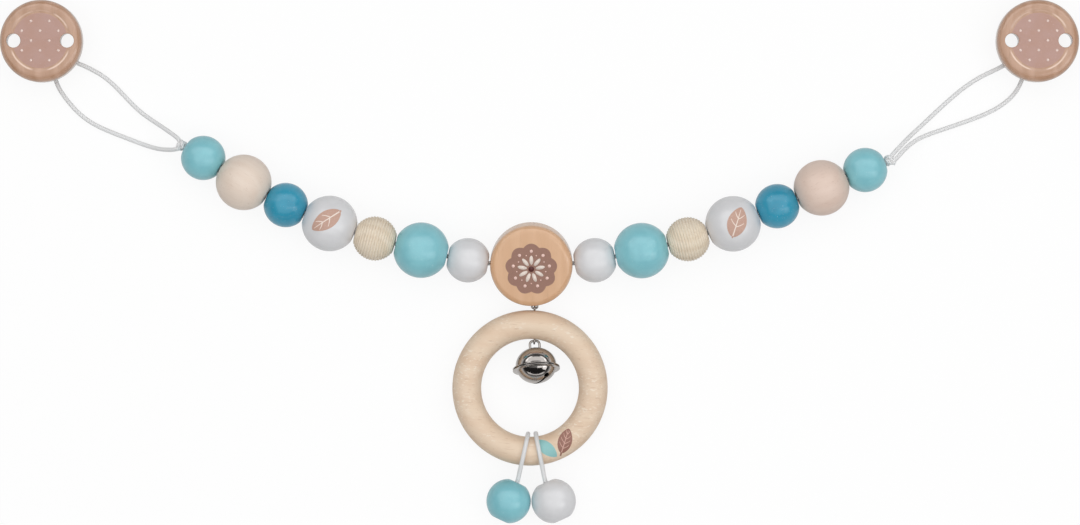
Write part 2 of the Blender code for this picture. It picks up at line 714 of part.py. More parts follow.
def bell_outline(lower):
    """One half of the bell's shell, a cup with a turned-out lip at the seam."""
    outer, tall = BELL_DIAMETER / 2, BELL_HEIGHT / 2
    seam = -BELL_SEAM_BELOW_MIDDLE
    lip_inner = seam + (-SEAT_GAP / 2 if lower else SEAT_GAP / 2)
    lip_outer = lip_inner + (-BELL_SEAM_LIP if lower else BELL_SEAM_LIP)
    sign = -1 if lower else 1

    def curve(radius, height):
        start = math.asin(min(1, abs(lip_outer) / height)) * (1 if lower else -1)
        step = (math.pi / 2 - start) / BELL_RINGS
        angles = [start + step * i for i in range(BELL_RINGS + 1)]
        return [(radius * math.cos(a), sign * height * math.sin(a)) for a in angles]

    skin = curve(outer, tall)
    wall = curve(outer - BELL_WALL, tall - BELL_WALL)
    skin[-1] = (0, skin[-1][1])
    wall[-1] = (0, wall[-1][1])
    lip = BELL_SEAM_DIAMETER / 2
    return [*reversed(skin), (lip, lip_outer), (lip, lip_inner),
            (outer - BELL_WALL, lip_inner), *wall]


def bell_pitch(hinge_height):
    """How far the bell tips up so that its seam rests on the table."""
    seam = BELL_NECK + BELL_HEIGHT / 2 + BELL_SEAM_BELOW_MIDDLE
    lip = seam - SEAT_GAP / 2 - BELL_SEAM_LIP
    radius = BELL_SEAM_DIAMETER / 2
    return (math.asin((TABLE_GAP - hinge_height) / math.hypot(lip, radius))
            + math.atan2(radius, lip))


def build_bell(hinge):
    anchor = ring_frame() @ Vector(hinge)
    pitch = bell_pitch(anchor.z)
    frame = (Matrix.Translation(anchor) @ Matrix.Rotation(BELL_LEAN, 4, "Z")
             @ Matrix.Rotation(-pitch - math.pi / 2, 4, "X"))
    hang = pivot("bell_pivot", frame)
    nickel = finish_of("nickel")
    middle = -(BELL_NECK + BELL_HEIGHT / 2)
    shift = Matrix.Translation((0, 0, middle))
    upper = solid("bell_upper_shell", turned(bell_outline(False), BELL_SIDES), nickel, hang, shift)
    lower = solid("bell_lower_shell", turned(bell_outline(True), BELL_SIDES), nickel, hang, shift)
    around = Matrix.Rotation(BELL_SLIT_TURN, 4, "Z")
    reach = BELL_DIAMETER / 2 * math.sin(BELL_SLIT_HOLE_ANGLE)
    depth = BELL_HEIGHT / 2
    slit_top = -depth * math.cos(BELL_SLIT_HOLE_ANGLE) * BELL_SLIT_TOP_SHARE
    slit_side = BELL_SLIT_WIDTH / 2
    slit = block((-reach, -slit_side, -depth - CUT_OVERRUN), (reach, slit_side, slit_top))
    boolean(lower, slit, around)
    for sign in (-1, 1):
        tip = Matrix.Rotation(-sign * BELL_SLIT_HOLE_ANGLE, 4, "Y")
        down = Matrix.Translation((0, 0, -BELL_DIAMETER / 2))
        boolean(lower, rod(BELL_SLIT_HOLE / 2, 2 * BELL_SLIT_HOLE), around @ tip @ down)
    half = BAIL_WIDTH / 2 - FITTING_WIRE / 2
    top = middle + BELL_HEIGHT / 2
    bend = half - BAIL_CORNER
    crown = [*arc((-bend, -BAIL_CORNER), BAIL_CORNER, math.pi, math.pi / 2, WIRE_BEND_STEPS),
             *arc((bend, -BAIL_CORNER), BAIL_CORNER, math.pi / 2, 0, WIRE_BEND_STEPS)]
    foot = top - BAIL_DEPTH_INSIDE - BELL_WALL
    for sign in (-1, 1):
        boolean(upper, rod(FITTING_WIRE / 2 + SEAT_GAP, BELL_HEIGHT / 2, WIRE_HOLE_SIDES),
                Matrix.Translation((sign * half, 0, BELL_HEIGHT / 2)))
    route = [(-half, foot), *crown, (half, foot)]
    tube("bell_bail", [(x, 0, z) for x, z in route], FITTING_WIRE, nickel, hang)
    rest = BELL_DIAMETER / 2 - BELL_WALL - PELLET_DIAMETER / 2 - 2 * SEAT_GAP
    ball = bmesh.new()
    bmesh.ops.create_icosphere(ball, subdivisions=2, radius=PELLET_DIAMETER / 2)
    solid("bell_pellet", ball, finish_of("steel"), hang,
          Matrix.Translation((0, rest, middle)))


# Pendants

def build_pendant(side, ring_middle, centre_line):
    place_angle = PENDANT_PLACES[side]
    local = Vector((centre_line * math.sin(place_angle),
                    ring_middle - centre_line * math.cos(place_angle), 0))
    hook = ring_frame() @ local
    wrap = pendant_wrap(side)
    half = SMALL_BEAD_LENGTH / 2
    bead_turn = pendant_bead_turn() if side == "left" else -pendant_bead_turn()
    drop = hook.z - SMALL_BEAD_DIAMETER / 2 - TABLE_GAP
    pitch = math.asin(drop / (PENDANT_STRAND_REACH + half * math.cos(bead_turn)))
    frame = (Matrix.Translation(hook) @ Matrix.Rotation(pendant_heading(side), 4, "Z")
             @ Matrix.Rotation(pitch - math.pi / 2, 4, "X"))
    hang = pivot(side + "_pendant_pivot", frame)
    mouth = -PENDANT_STRAND_REACH
    in_bead = (Matrix.Translation((0, 0, mouth)) @ Matrix.Rotation(bead_turn, 4, "Y")
               @ Matrix.Translation((0, 0, -half)))
    radius = PENDANT_BORE / 2
    pocket, depth = PENDANT_KNOT_POCKET / 2, PENDANT_KNOT_POCKET_DEPTH
    outline = bead_outline("small", PENDANT_BORE)
    outline = [p for p in outline if p[1] > -half + SEAT_GAP]
    outline += [(bead_end_radius("small"), -half), (pocket, -half), (pocket, -half + depth),
                (radius, -half + depth)]
    colour = "light_teal" if side == "left" else "white"
    solid(side + "_pendant_bead", turned(outline, BEAD_SIDES), finish_of(colour), hang, in_bead)
    knot_length = depth - 2 * SEAT_GAP
    knot_z = -half + SEAT_GAP + knot_length / 2
    knot(side + "_pendant_knot", in_bead @ Vector((0, 0, knot_z)), in_bead.col[2].to_3d(),
         knot_length, 2 * pocket - 4 * SEAT_GAP, hang)
    start = knot_z + knot_length / 2 + SEAT_GAP
    spread = PENDANT_STRAND_SPREAD / 2
    flare = spread + wrap * PENDANT_FLARE_SHARE
    over = PENDANT_LOOP_OVERTURN
    turn = [(0, y, z) for y, z in arc((0, 0), wrap, -over, math.pi + over, PENDANT_LOOP_STEPS)]
    out, back = ([in_bead @ Vector((0, y, z)) for z in (start, (start + half) / 2, half)]
                 for y in (spread, -spread))
    route = [*out, (0, flare, mouth + PENDANT_CORD_DIAMETER), *turn,
             (0, -flare, mouth + PENDANT_CORD_DIAMETER), *reversed(back)]
    points = smooth_path(route, PENDANT_STEP_DIAMETERS * PENDANT_CORD_DIAMETER)
    tube(side + "_pendant_cord", points, PENDANT_CORD_DIAMETER, finish_of("cord"), hang)


# Clips

def clip_heights():
    """Heights over the table of the lever's pin, the pad, the plate and the disc."""
    pin = SHEET + HINGE_PLAY + HINGE_PIN_DIAMETER / 2
    pad = pin + pin + CAM_LOBE + SEAT_GAP
    plate = pad + PAD_THICKNESS + SEAT_GAP
    disc = plate + SHEET + SEAT_GAP
    return pin, pad, plate, disc


def bail_frame(side):
    """The clip's swinging frame: its origin in the bail bar, X away from the disc's middle."""
    knot_at, _ = knot_centre(side)
    east, north = CLIP_FROM_KNOT[side]
    return (Matrix.Translation((knot_at.x + east, knot_at.y + north, 0))
            @ Matrix.Rotation(math.radians(CLIP_HEADINGS_DEG[side]), 4, "Z")
            @ Matrix.Translation((BAIL_BAR_REACH, 0, BAIL_BAR_HEIGHT)))


def build_clip(side):
    """In the clip's frame X runs from the disc's middle to the bail, and Z up from the table."""
    heading = math.radians(CLIP_HEADINGS_DEG[side])
    swing = pivot(side + "_clip_pivot", bail_frame(side))
    frame = Matrix.Translation((-BAIL_BAR_REACH, 0, -BAIL_BAR_HEIGHT))
    pin_z, pad_z, plate_z, disc_z = clip_heights()
    steel = finish_of("steel")

    recess = (CLIP_RECESS_DIAMETER, CLIP_RECESS_DEPTH, CLIP_RECESS_SLOPE)
    hole = (RIVET_SHANK + 2 * SEAT_GAP, RIVET_DEPTH + SEAT_GAP)
    outline = disc_outline(CLIP_DISC_DIAMETER / 2, CLIP_DISC_THICKNESS, CLIP_DISC_EDGE,
                           CLIP_DISC_LOWER_EDGE, recess, hole)
    disc = solid(side + "_clip_disc", turned(outline, DISC_SIDES), finish_of("clip_wood"), swing,
                 frame @ Matrix.Translation((0, 0, disc_z)) @ Matrix.Rotation(-heading, 4, "Z"))
    for sign in (-1, 1):
        boolean(disc, rod(VENT_DIAMETER / 2, CLIP_DISC_THICKNESS + 2 * CUT_OVERRUN, BEAD_SIDES),
                Matrix.Translation((sign * VENT_SPACING / 2, 0, CLIP_DISC_THICKNESS / 2)))

    half_sheet = SHEET / 2
    slot_near = BAIL_BAR_REACH - BAIL_BAR_WIDTH / 2 - BAIL_SLOT_WIDTH
    bend = slot_near - SHEET
    far = BAIL_BAR_REACH + BAIL_BAR_WIDTH / 2
    low = BAIL_BAR_HEIGHT - half_sheet
    strip = [(-PLATE_TAIL, plate_z), (bend - JOGGLE_RUN, plate_z), (bend, low), (far, low),
             (far, low + SHEET), (bend + half_sheet, low + SHEET),
             (bend - JOGGLE_RUN + half_sheet, plate_z + SHEET), (-PLATE_TAIL, plate_z + SHEET)]
    plate = solid(side + "_clip_plate", extruded(strip, PLATE_WIDTH), steel, swing, frame)
    ear_low = pin_z - HINGE_PIN_DIAMETER
    for sign in (-1, 1):
        inner = sign * (PLATE_WIDTH / 2 - EAR_THICKNESS)
        outer = sign * PLATE_WIDTH / 2
        boolean(plate, block((-HINGE_SETBACK - EAR_LENGTH / 2, min(inner, outer), ear_low),
                             (-HINGE_SETBACK + EAR_LENGTH / 2, max(inner, outer),
                              plate_z + half_sheet)), None, "UNION")
    across = Matrix.Rotation(math.pi / 2, 4, "X")
    boolean(plate, rod(HINGE_PIN_DIAMETER / 2 + HINGE_PLAY, PLATE_WIDTH + 2 * CUT_OVERRUN),
            Matrix.Translation((-HINGE_SETBACK, 0, pin_z)) @ across)
    half_slot = BAIL_SLOT_LENGTH / 2
    boolean(plate, block((slot_near, -half_slot, low - CUT_OVERRUN),
                         (slot_near + BAIL_SLOT_WIDTH, half_slot, low + SHEET + CUT_OVERRUN)))
    boolean(plate, rod(RIVET_SHANK / 2 + SEAT_GAP, SHEET + 2 * CUT_OVERRUN),
            Matrix.Translation((0, 0, plate_z + half_sheet)))
    for sign in (-1, 1):
        corner = bmesh.new()
        edge_y = sign * (PLATE_WIDTH / 2)
        outline = [(far - BAIL_END_CORNER, edge_y), (far, edge_y - sign * BAIL_END_CORNER),
                   (far + CUT_OVERRUN, edge_y - sign * BAIL_END_CORNER),
                   (far + CUT_OVERRUN, edge_y + sign * CUT_OVERRUN),
                   (far - BAIL_END_CORNER, edge_y + sign * CUT_OVERRUN)]
        lower = [corner.verts.new((x, y, low - CUT_OVERRUN)) for x, y in outline]
        upper = [corner.verts.new((x, y, low + SHEET + CUT_OVERRUN)) for x, y in outline]
        corner.faces.new(lower)
        corner.faces.new(upper[::-1])
        for i in range(len(outline)):
            j = (i + 1) % len(outline)
            corner.faces.new((lower[i], upper[i], upper[j], lower[j]))
        boolean(plate, corner)

    head = RIVET_HEAD / 2
    rivet_top = RIVET_DEPTH + SHEET + 2 * SEAT_GAP
    rivet = [(0, rivet_top), (RIVET_SHANK / 2, rivet_top),
             (RIVET_SHANK / 2, 0), (head, 0), (head, -RIVET_HEAD_THICKNESS / 2),
             (head - RIVET_HEAD_THICKNESS / 2, -RIVET_HEAD_THICKNESS), (0, -RIVET_HEAD_THICKNESS)]
    solid(side + "_clip_rivet", turned(rivet, SMALL_SIDES), steel, swing,
          frame @ Matrix.Translation((0, 0, plate_z - SEAT_GAP)))

    pad_top = pad_z + PAD_THICKNESS
    start = -HINGE_SETBACK - PAD_LENGTH / 2
    pitch = PAD_LENGTH / PAD_TEETH
    teeth = []
    for i in range(PAD_TEETH):
        root = start + i * pitch
        teeth += [(root, pad_z + PAD_TOOTH_DEPTH), (root + pitch / 2, pad_z)]
    outline = [*teeth, (start + PAD_LENGTH, pad_z + PAD_TOOTH_DEPTH), (start + PAD_LENGTH, pad_top),
               (start, pad_top)]
    pad_width = PLATE_WIDTH - 2 * EAR_THICKNESS - 2 * SEAT_GAP
    solid(side + "_jaw_pad", extruded(outline, pad_width), finish_of("pad_plastic"), swing, frame)

    pin_half = PLATE_WIDTH / 2 + SEAT_GAP
    cap = HINGE_PIN_HEAD_THICKNESS
    shank, rim = HINGE_PIN_DIAMETER / 2, HINGE_PIN_HEAD / 2
    crown = rim * HINGE_PIN_CROWN_SHARE
    pin = [(0, pin_half + cap), (crown, pin_half + cap), (rim, pin_half + cap / 2),
           (rim, pin_half), (shank, pin_half), (shank, -pin_half), (rim, -pin_half),
           (rim, -pin_half - cap / 2), (crown, -pin_half - cap), (0, -pin_half - cap)]
    solid(side + "_hinge_pin", turned(pin, SMALL_SIDES), steel, swing,
          frame @ Matrix.Translation((-HINGE_SETBACK, 0, pin_z)) @ across)

    lift = pivot(side + "_lever_pivot", frame @ Matrix.Translation((-HINGE_SETBACK, 0, pin_z)), swing)
    inside = shank + HINGE_PLAY
    outside = inside + SHEET
    wrap_end = CAM_END - 2 * math.pi
    knuckle = arc((0, 0), outside, -math.pi / 2, -math.pi, KNUCKLE_STEPS)
    nose = arc((0, 0), outside + CAM_LOBE, -math.pi - CAM_START, wrap_end, NOSE_STEPS)
    hollow = arc((0, 0), inside, wrap_end, -math.pi / 2, KNUCKLE_HOLLOW_STEPS)
    finger = LEVER_TAIL - LEVER_FINGER_LENGTH
    lever = [*knuckle, *nose, *hollow, (finger, -inside), (LEVER_TAIL, LEVER_FINGER_LIFT - inside),
             (LEVER_TAIL, LEVER_FINGER_LIFT - outside), (finger + SHEET / 2, -outside)]
    solid(side + "_clip_lever", extruded(lever, LEVER_WIDTH), steel, lift)


def bail_turn(side):
    """The cord's half turn round the bail bar, as world points from under it to over it."""
    frame = bail_frame(side)
    radius = BAIL_BAR_WIDTH / 2 + SEAT_GAP + CHAIN_CORD_DIAMETER / 2
    upper_side = 1 if side == "left" else -1
    points = []
    for i in range(LOOP_TURN_STEPS):
        share = i / (LOOP_TURN_STEPS - 1)
        a = -math.pi / 2 - math.pi * share
        along_bar = upper_side * LOOP_TURN_REACH * (2 * share - 1)
        points.append(frame @ Vector((radius * math.cos(a), along_bar, radius * math.sin(a))))
    return points


def build_loops():
    for side in ("left", "right"):
        centre, along = knot_centre(side)
        knot(side + "_knot", centre, along, KNOT_LENGTH, KNOT_DIAMETER)
        upper = [Vector((centre.x + e, centre.y + n, h)) for e, n, h in LOOP_UPPER_STRANDS[side]]
        lower = [Vector((centre.x + e, centre.y + n, h)) for e, n, h in LOOP_LOWER_STRANDS[side]]
        turn = bail_turn(side)
        curve = smooth_curve([*lower, *turn, *reversed(upper)])
        turn_start = CURVE_STEPS * len(lower)
        turn_end = turn_start + CURVE_STEPS * (len(turn) - 1)
        spacing = CORD_STEP_DIAMETERS * CHAIN_CORD_DIAMETER
        tight = LOOP_TURN_STEP_DIAMETERS * CHAIN_CORD_DIAMETER
        points = [*evenly_spaced(curve[:turn_start + 1], spacing)[:-1],
                  *evenly_spaced(curve[turn_start:turn_end + 1], tight),
                  *evenly_spaced(curve[turn_end:], spacing)[1:]]
        tube(side + "_loop_cord", points, CHAIN_CORD_DIAMETER, finish_of("cord"))


clear_scene()
build_beads()
build_chain_cord()
build_centre_disc()
ring_centre_y, ring_line, bell_hinge_point = build_ring()
build_bell(bell_hinge_point)
for pendant_side in ("left", "right"):
    build_pendant(pendant_side, ring_centre_y, ring_line)
for clip_side in ("left", "right"):
    build_clip(clip_side)
build_loops()
bpy.context.view_layer.update()
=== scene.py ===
import json
import math

import bmesh
import bpy
from mathutils import Matrix, Vector


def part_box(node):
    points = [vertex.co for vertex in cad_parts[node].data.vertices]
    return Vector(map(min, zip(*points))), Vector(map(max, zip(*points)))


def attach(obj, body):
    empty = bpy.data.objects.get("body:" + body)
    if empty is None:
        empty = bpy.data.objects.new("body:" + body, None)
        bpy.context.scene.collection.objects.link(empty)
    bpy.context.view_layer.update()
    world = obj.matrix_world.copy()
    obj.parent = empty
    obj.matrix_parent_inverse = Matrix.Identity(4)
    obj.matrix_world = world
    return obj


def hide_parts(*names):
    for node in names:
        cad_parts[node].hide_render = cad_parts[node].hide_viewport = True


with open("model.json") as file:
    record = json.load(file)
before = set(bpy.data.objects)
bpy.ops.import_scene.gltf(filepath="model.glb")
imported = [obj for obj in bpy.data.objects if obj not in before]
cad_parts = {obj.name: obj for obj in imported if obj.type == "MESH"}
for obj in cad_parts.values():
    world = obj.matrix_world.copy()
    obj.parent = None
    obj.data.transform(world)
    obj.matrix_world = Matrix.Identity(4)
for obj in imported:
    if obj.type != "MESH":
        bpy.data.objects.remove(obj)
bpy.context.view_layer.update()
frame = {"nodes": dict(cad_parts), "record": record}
joints = {joint["name"]: joint for joint in frame["record"]["behaviour"]["joints"]}
print("frame loaded:", len(frame["nodes"]), "nodes")

# camera and lamps

cameraLook = {
    "aim": (0.0003, -0.0006, 0.010),  # under the middle of the picture
    "widthSeen": 0.486,  # of the plane through the beads' middles
    "lens": 120.0,
    "sensor": 36.0,
    "farthest": 20.0,
}
lampLooks = {
    "overhead": {"place": (0.0, 0.10, 0.85), "size": 2.0, "watts": 11.3},
    "side": {"place": (1.3, -0.6, 1.0), "size": 0.7, "watts": 2.5},
}


def linked(name, data):
    item = bpy.data.objects.new(name, data)
    bpy.context.collection.objects.link(item)
    return item


def makeCamera(look):
    camera = linked("camera", bpy.data.cameras.new("camera"))
    camera.data.lens = look["lens"]
    camera.data.sensor_width = look["sensor"]
    camera.data.clip_end = look["farthest"]
    height = look["widthSeen"] * look["lens"] / look["sensor"]
    camera.location = Vector(look["aim"]) + Vector((0, 0, height))
    bpy.context.scene.camera = camera


def makeLamp(name, look):
    lamp = linked(name, bpy.data.lights.new(name, "AREA"))
    lamp.data.shape = "SQUARE"
    lamp.data.size = look["size"]
    lamp.data.energy = look["watts"]
    lamp.location = look["place"]
    lamp.rotation_euler = (-Vector(look["place"])).to_track_quat("-Z", "Y").to_euler()
    lamp.visible_camera = False
    return lamp


def keepOff(lamp, pieces):  # pieces that mirror the sky alone
    group = bpy.data.collections.new("keptOff")
    for piece in pieces:
        group.objects.link(piece)
    lamp.light_linking.receiver_collection = group
    for item in group.collection_objects:
        item.light_linking.link_state = "EXCLUDE"


# nodes: a Value is one output of a node, and sums with it make more nodes

class Value:
    def __init__(self, grow, socket):
        self.grow = grow
        self.socket = socket

    def calc(self, operation, *others):
        return self.grow("ShaderNodeMath", dict(enumerate((self, *others))), operation=operation)

    def __add__(self, other):
        return self.calc("ADD", other)

    def __sub__(self, other):
        return self.calc("SUBTRACT", other)

    def __mul__(self, other):
        return self.calc("MULTIPLY", other)

    def __truediv__(self, other):
        return self.calc("DIVIDE", other)

    def ramp(self, low, high):  # 0 below low, 1 above high
        return self.grow("ShaderNodeMapRange", {"Value": self, "From Min": low, "From Max": high},
                         interpolation_type="SMOOTHSTEP")

    def spread(self, low, high, start=0.0, end=1.0):  # low at start, high at end
        return self.grow("ShaderNodeMapRange", {"Value": self, "From Min": start, "From Max": end,
                                                "To Min": low, "To Max": high})

    def blend(self, first, second):  # the first colour at 0, the second at 1
        return self.grow("ShaderNodeMix", {0: self, 6: tone(first), 7: tone(second)}, 2,
                         data_type="RGBA")

    def mix(self, first, second):  # the same for numbers
        return self.grow("ShaderNodeMix", {0: self, 2: first, 3: second})

    def stretched(self, sizes):
        return self.grow("ShaderNodeMapping", {"Vector": self, "Scale": sizes})

    def noise(self, pattern, stretch=None):  # a pattern is turns to a metre, detail, roughness
        point = self.stretched(stretch) if stretch else self
        sizes = zip(("Scale", "Detail", "Roughness"), pattern)
        return self.grow("ShaderNodeTexNoise", {"Vector": point, **dict(sizes)})


def fill(node, inputs):  # links what comes from other nodes and sets the rest
    for key, given in inputs.items():
        for value in given if isinstance(given, list) else [given]:
            if isinstance(value, Value):
                node.id_data.links.new(value.socket, node.inputs[key])
            else:
                node.inputs[key].default_value = value


def grower(tree):  # makes nodes in one tree; take names the output or outputs to go on with
    def grow(kind, inputs=None, take=0, **settings):
        node = tree.nodes.new(kind)
        for key, value in settings.items():
            setattr(node, key, value)
        fill(node, inputs or {})
        if isinstance(take, tuple):
            return [Value(grow, node.outputs[key]) for key in take]
        return Value(grow, node.outputs[take]) if len(node.outputs) else None
    return grow


def tone(colour):  # a colour as a screen shows it, made linear
    if not isinstance(colour, str):
        return colour
    parts = [int(colour[i:i + 2], 16) / 255 for i in (0, 2, 4)]
    return (*(p / 12.92 if p <= 0.04045 else ((p + 0.055) / 1.055) ** 2.4 for p in parts), 1.0)


def attribute(grow, name, take="Fac"):
    return grow("ShaderNodeAttribute", take=take, attribute_name=name)


def startMaterial(name, turned=False):  # turned wood keeps each point's own place in woodPoint
    material = bpy.data.materials.new(name)
    material.use_nodes = True
    grow = grower(material.node_tree)
    if turned:
        return material, grow, attribute(grow, "woodPoint", "Vector")
    return material, grow, grow("ShaderNodeTexCoord", take="Object")


def finished(material, grow, look, base, roughness, height, depth):
    bump = grow("ShaderNodeBump", {"Height": height, "Distance": depth, "Strength": 1.0})
    fill(material.node_tree.nodes["Principled BSDF"], {
        "Base Color": base, "Roughness": roughness, "Normal": bump, "Coat Normal": bump,
        "Metallic": look.get("metallic", 0.0), "Sheen Weight": look.get("sheen", 0.0),
        "Coat Weight": look.get("coat", 0.0), "Coat Roughness": look.get("coatRoughness", 0.2)})
    return material


# finishes: edges tell where a pattern sets in and where it is whole

beadWood = {"along": (1, 1, 0.09), "bands": 95, "roughness": 0.46, "coat": 0.2,
            "coatRoughness": 0.25, "bump": 0.00002}
woodLooks = {
    "naturalBead": {**beadWood, "pale": "EFE0D2", "deep": "E1CAB7", "fleck": "BFA088",
                    "bandShare": 0.1, "fleckShare": 0.22},
    "rosyBead": {**beadWood, "pale": "E9D3C5", "deep": "DBBEAD", "fleck": "B89684",
                 "bandShare": 0.12, "fleckShare": 0.26},
    "groovedBead": {"pale": "EEE2CF", "deep": "E0D0B8", "fleck": "BFA88E", "along": (1, 1, 0.12),
                    "bands": 95, "bandShare": 0.3, "fleckShare": 0.3, "roughness": 0.55,
                    "coat": 0.1, "coatRoughness": 0.35, "bump": 0.00003},
    "ringBeech": {"pale": "EDD8C0", "deep": "DDBC9E", "fleck": "C39F80", "along": (0.10, 1, 1),
                  "bands": 62, "bandShare": 0.16, "fleckShare": 0.4, "speckle": 0.6,
                  "roughness": 0.55, "coat": 0.06, "coatRoughness": 0.35, "bump": 0.00003},
    "discBirch": {"pale": "DFB38C", "deep": "D0A077", "fleck": "BC8E66", "along": (1, 0.08, 1),
                  "bands": 70, "bandShare": 0.2, "fleckShare": 0.16, "roughness": 0.45,
                  "coat": 1.0, "coatRoughness": 0.1, "bump": 0.00002},
    # the pale arcs on this rim's recess step are a painted highlight
    "clipRim": {"pale": "C8A086", "deep": "B58A6C", "fleck": "9C7459", "along": (1, 0.07, 1),
                "bands": 80, "bandShare": 0.35, "fleckShare": 0.3, "rubbed": 0.85,
                "roughness": 0.42, "coat": 1.0, "coatRoughness": 0.06, "bump": 0.00001},
}
grainLook = {
    "cloud": (150, 4, 0.6), "cloudShare": 0.55, "edges": (0.15, 0.85),
    "waver": {"Distortion": 5.5, "Detail": 2.5, "Detail Scale": 1.6},
    "fibre": (2600, 4, 0.65), "fibreShare": 0.18, "fibreHeight": 0.5,
    # the pale arc colour in this table is a painted highlight
    "pore": (1500, 2, 0.5), "poreEdges": (0.60, 0.72), "rubbedColour": "F6D9C4",
    "speck": (1150, 2, 0.55), "speckEdges": (0.56, 0.66), "speckShortest": 0.4,
    "cluster": (70, 2, 0.55), "clusterEdges": (0.42, 0.62), "speckColour": "F6EADB",
    "smoother": 0.07, "rougher": 0.09,
}
paintLooks = {
    "lightTeal": {"colour": "87CAD4", "shade": "7EC1CC"},
    "deepBlue": {"colour": "2698B7", "shade": "1C8EAD"},
    "bluishWhite": {"colour": "E1E1E3", "shade": "DADADC"},
    "clipPink": {"colour": "BB968B", "shade": "B99182", "roughness": 0.45, "coat": 0.2},
}
lacquerLook = {
    "cloud": (110, 4, 0.55), "edges": (0.3, 0.7),
    "nib": (1900, 2, 0.55), "nibEdges": (0.68, 0.74), "nibShare": 0.25, "nibColour": "FFFFFF",
    "bareRadii": (0.0027, 0.0023), "bareColour": "D9BE9F",  # no paint at the mouth of the bore
    "grain": (1500, 3, 0.6), "grainAlong": (1, 1, 0.15), "grainHeight": 0.35,
    "peel": (420, 2, 0.55), "roughness": 0.5, "smoother": 0.05, "rougher": 0.07,
    "coat": 0.7, "coatRoughness": 0.12, "bump": 0.00005,
}
inkLooks = {
    "roseInk": {"colour": "C59E8D", "under": "D4BBAE"},
    "creamInk": {"colour": "EFE0D5", "under": "E3D3C8"},
    "tealInk": {"colour": "8EC4C4", "under": "A9CFC8"},
    "umberInk": {"colour": "97695B", "under": "AC8574"},
    "veinInk": {"colour": "D2A99B", "under": "C0958A"},
    "brownInk": {"colour": "966F60", "under": "A37C68"},
    "pinkInk": {"colour": "F6D3C8", "under": "EBC4B4"},
    "darkInk": {"colour": "56231F", "under": "6B3A30"},
    "dotInk": {"colour": "F5DED4", "under": "EACDC0"},
}
printLook = {"pore": (2300, 3, 0.7), "poreEdges": (0.45, 0.75), "thinning": 0.6,
             "roughness": 0.5, "coat": 0.1, "coatRoughness": 0.3, "bump": 0.00001}
braidLooks = {
    # the gap colour is painted shade in the gaps between the strands
    "braid": {"gap": "94989C", "crest": "F0F0F0", "weaveShare": 0.8, "edges": (0.2, 0.72),
              "fluff": (5200, 3, 0.7), "fluffShare": 0.35, "roughness": 0.8, "sheen": 0.25,
              "bump": 0.00004},
}
metalLooks = {
    "nickel": {"colour": "BDB8B4", "roughness": 0.09, "bump": 0.000002},
    "wire": {"colour": "9D9894", "roughness": 0.14, "bump": 0.000003},
    "sheetSteel": {"colour": "C4C2C0", "roughness": 0.30, "bump": 0.000006},
}
handledLook = {"smear": (240, 4, 0.6), "smearColour": "8E8A86", "smearShare": 0.35,
               "scratch": (2400, 3, 0.7), "scratchAlong": (1, 0.12, 1), "shares": (0.6, 0.4),
               "edges": (0.3, 0.7), "smoothest": 0.7, "roughest": 1.5, "metallic": 1.0}
plasticLooks = {
    "padPlastic": {"colour": "E6E4DE", "shade": "D8D5CC", "cloud": (300, 3, 0.55),
                   "grain": (3000, 2, 0.55), "roughness": 0.55, "bump": 0.00002},
}


def woodMaterial(name, look):
    material, grow, point = startMaterial(name, True)
    grain, along = grainLook, look["along"]
    cloudy = point.noise(grain["cloud"], along)
    fibre = point.noise(grain["fibre"], along)
    bands = grow("ShaderNodeTexWave", {"Vector": point.stretched(along), "Scale": look["bands"],
                                       **grain["waver"]}, "Fac", bands_direction="DIAGONAL")
    mixed = cloudy * grain["cloudShare"] + bands * look["bandShare"]
    base = mixed.ramp(*grain["edges"]).blend(look["pale"], look["deep"])
    pores = point.noise(grain["pore"], along).ramp(*grain["poreEdges"])
    base = (pores * look["fleckShare"]).blend(base, look["fleck"])
    base = (fibre * grain["fibreShare"]).blend(base, look["fleck"])
    if "rubbed" in look:  # painted highlight: pale arcs on the step that stand in for glints of the lights
        base = (attribute(grow, "rubbed") * look["rubbed"]).blend(base, grain["rubbedColour"])
    if "speckle" in look:  # pale specks, in clusters
        sizes = tuple(max(size, grain["speckShortest"]) for size in along)
        specks = point.noise(grain["speck"], sizes).ramp(*grain["speckEdges"])
        cluster = point.noise(grain["cluster"]).ramp(*grain["clusterEdges"])
        base = (specks * cluster * look["speckle"]).blend(base, grain["speckColour"])
    rough = look["roughness"]
    rough = fibre.spread(rough - grain["smoother"], rough + grain["rougher"])
    return finished(material, grow, look, base, rough, fibre * grain["fibreHeight"] - pores,
                    look["bump"])


def paintMaterial(name, look):
    material, grow, point = startMaterial(name, True)
    look = {**lacquerLook, **look}
    cloudy = point.noise(look["cloud"]).ramp(*look["edges"])
    nibs = point.noise(look["nib"]).ramp(*look["nibEdges"]) * look["nibShare"]
    base = nibs.blend(cloudy.blend(look["colour"], look["shade"]), look["nibColour"])
    x, y = grow("ShaderNodeSeparateXYZ", {0: point}, (0, 1))
    bare = (x * x + y * y).calc("SQRT").ramp(*look["bareRadii"])
    base = bare.blend(base, look["bareColour"])
    grain = point.noise(look["grain"], look["grainAlong"])
    rough = look["roughness"]
    rough = grain.spread(rough - look["smoother"], rough + look["rougher"])
    height = grain * look["grainHeight"] + point.noise(look["peel"])
    return finished(material, grow, look, base, rough, height, look["bump"])


def inkMaterial(name, look):
    material, grow, point = startMaterial(name)
    look = {**printLook, **look}
    thin = point.noise(look["pore"]).ramp(*look["poreEdges"])  # thinner over the pores
    base = (thin * look["thinning"]).blend(look["colour"], look["under"])
    return finished(material, grow, look, base, look["roughness"], thin, look["bump"])


def braidMaterial(name, look):
    material, grow, point = startMaterial(name)
    fluff = point.noise(look["fluff"])
    # painted shade: darker where the strands dip apart, the cord's own white on their crests
    lit = attribute(grow, "weave") * look["weaveShare"] + fluff * look["fluffShare"]
    base = lit.ramp(*look["edges"]).blend(look["gap"], look["crest"])
    return finished(material, grow, look, base, look["roughness"], fluff, look["bump"])


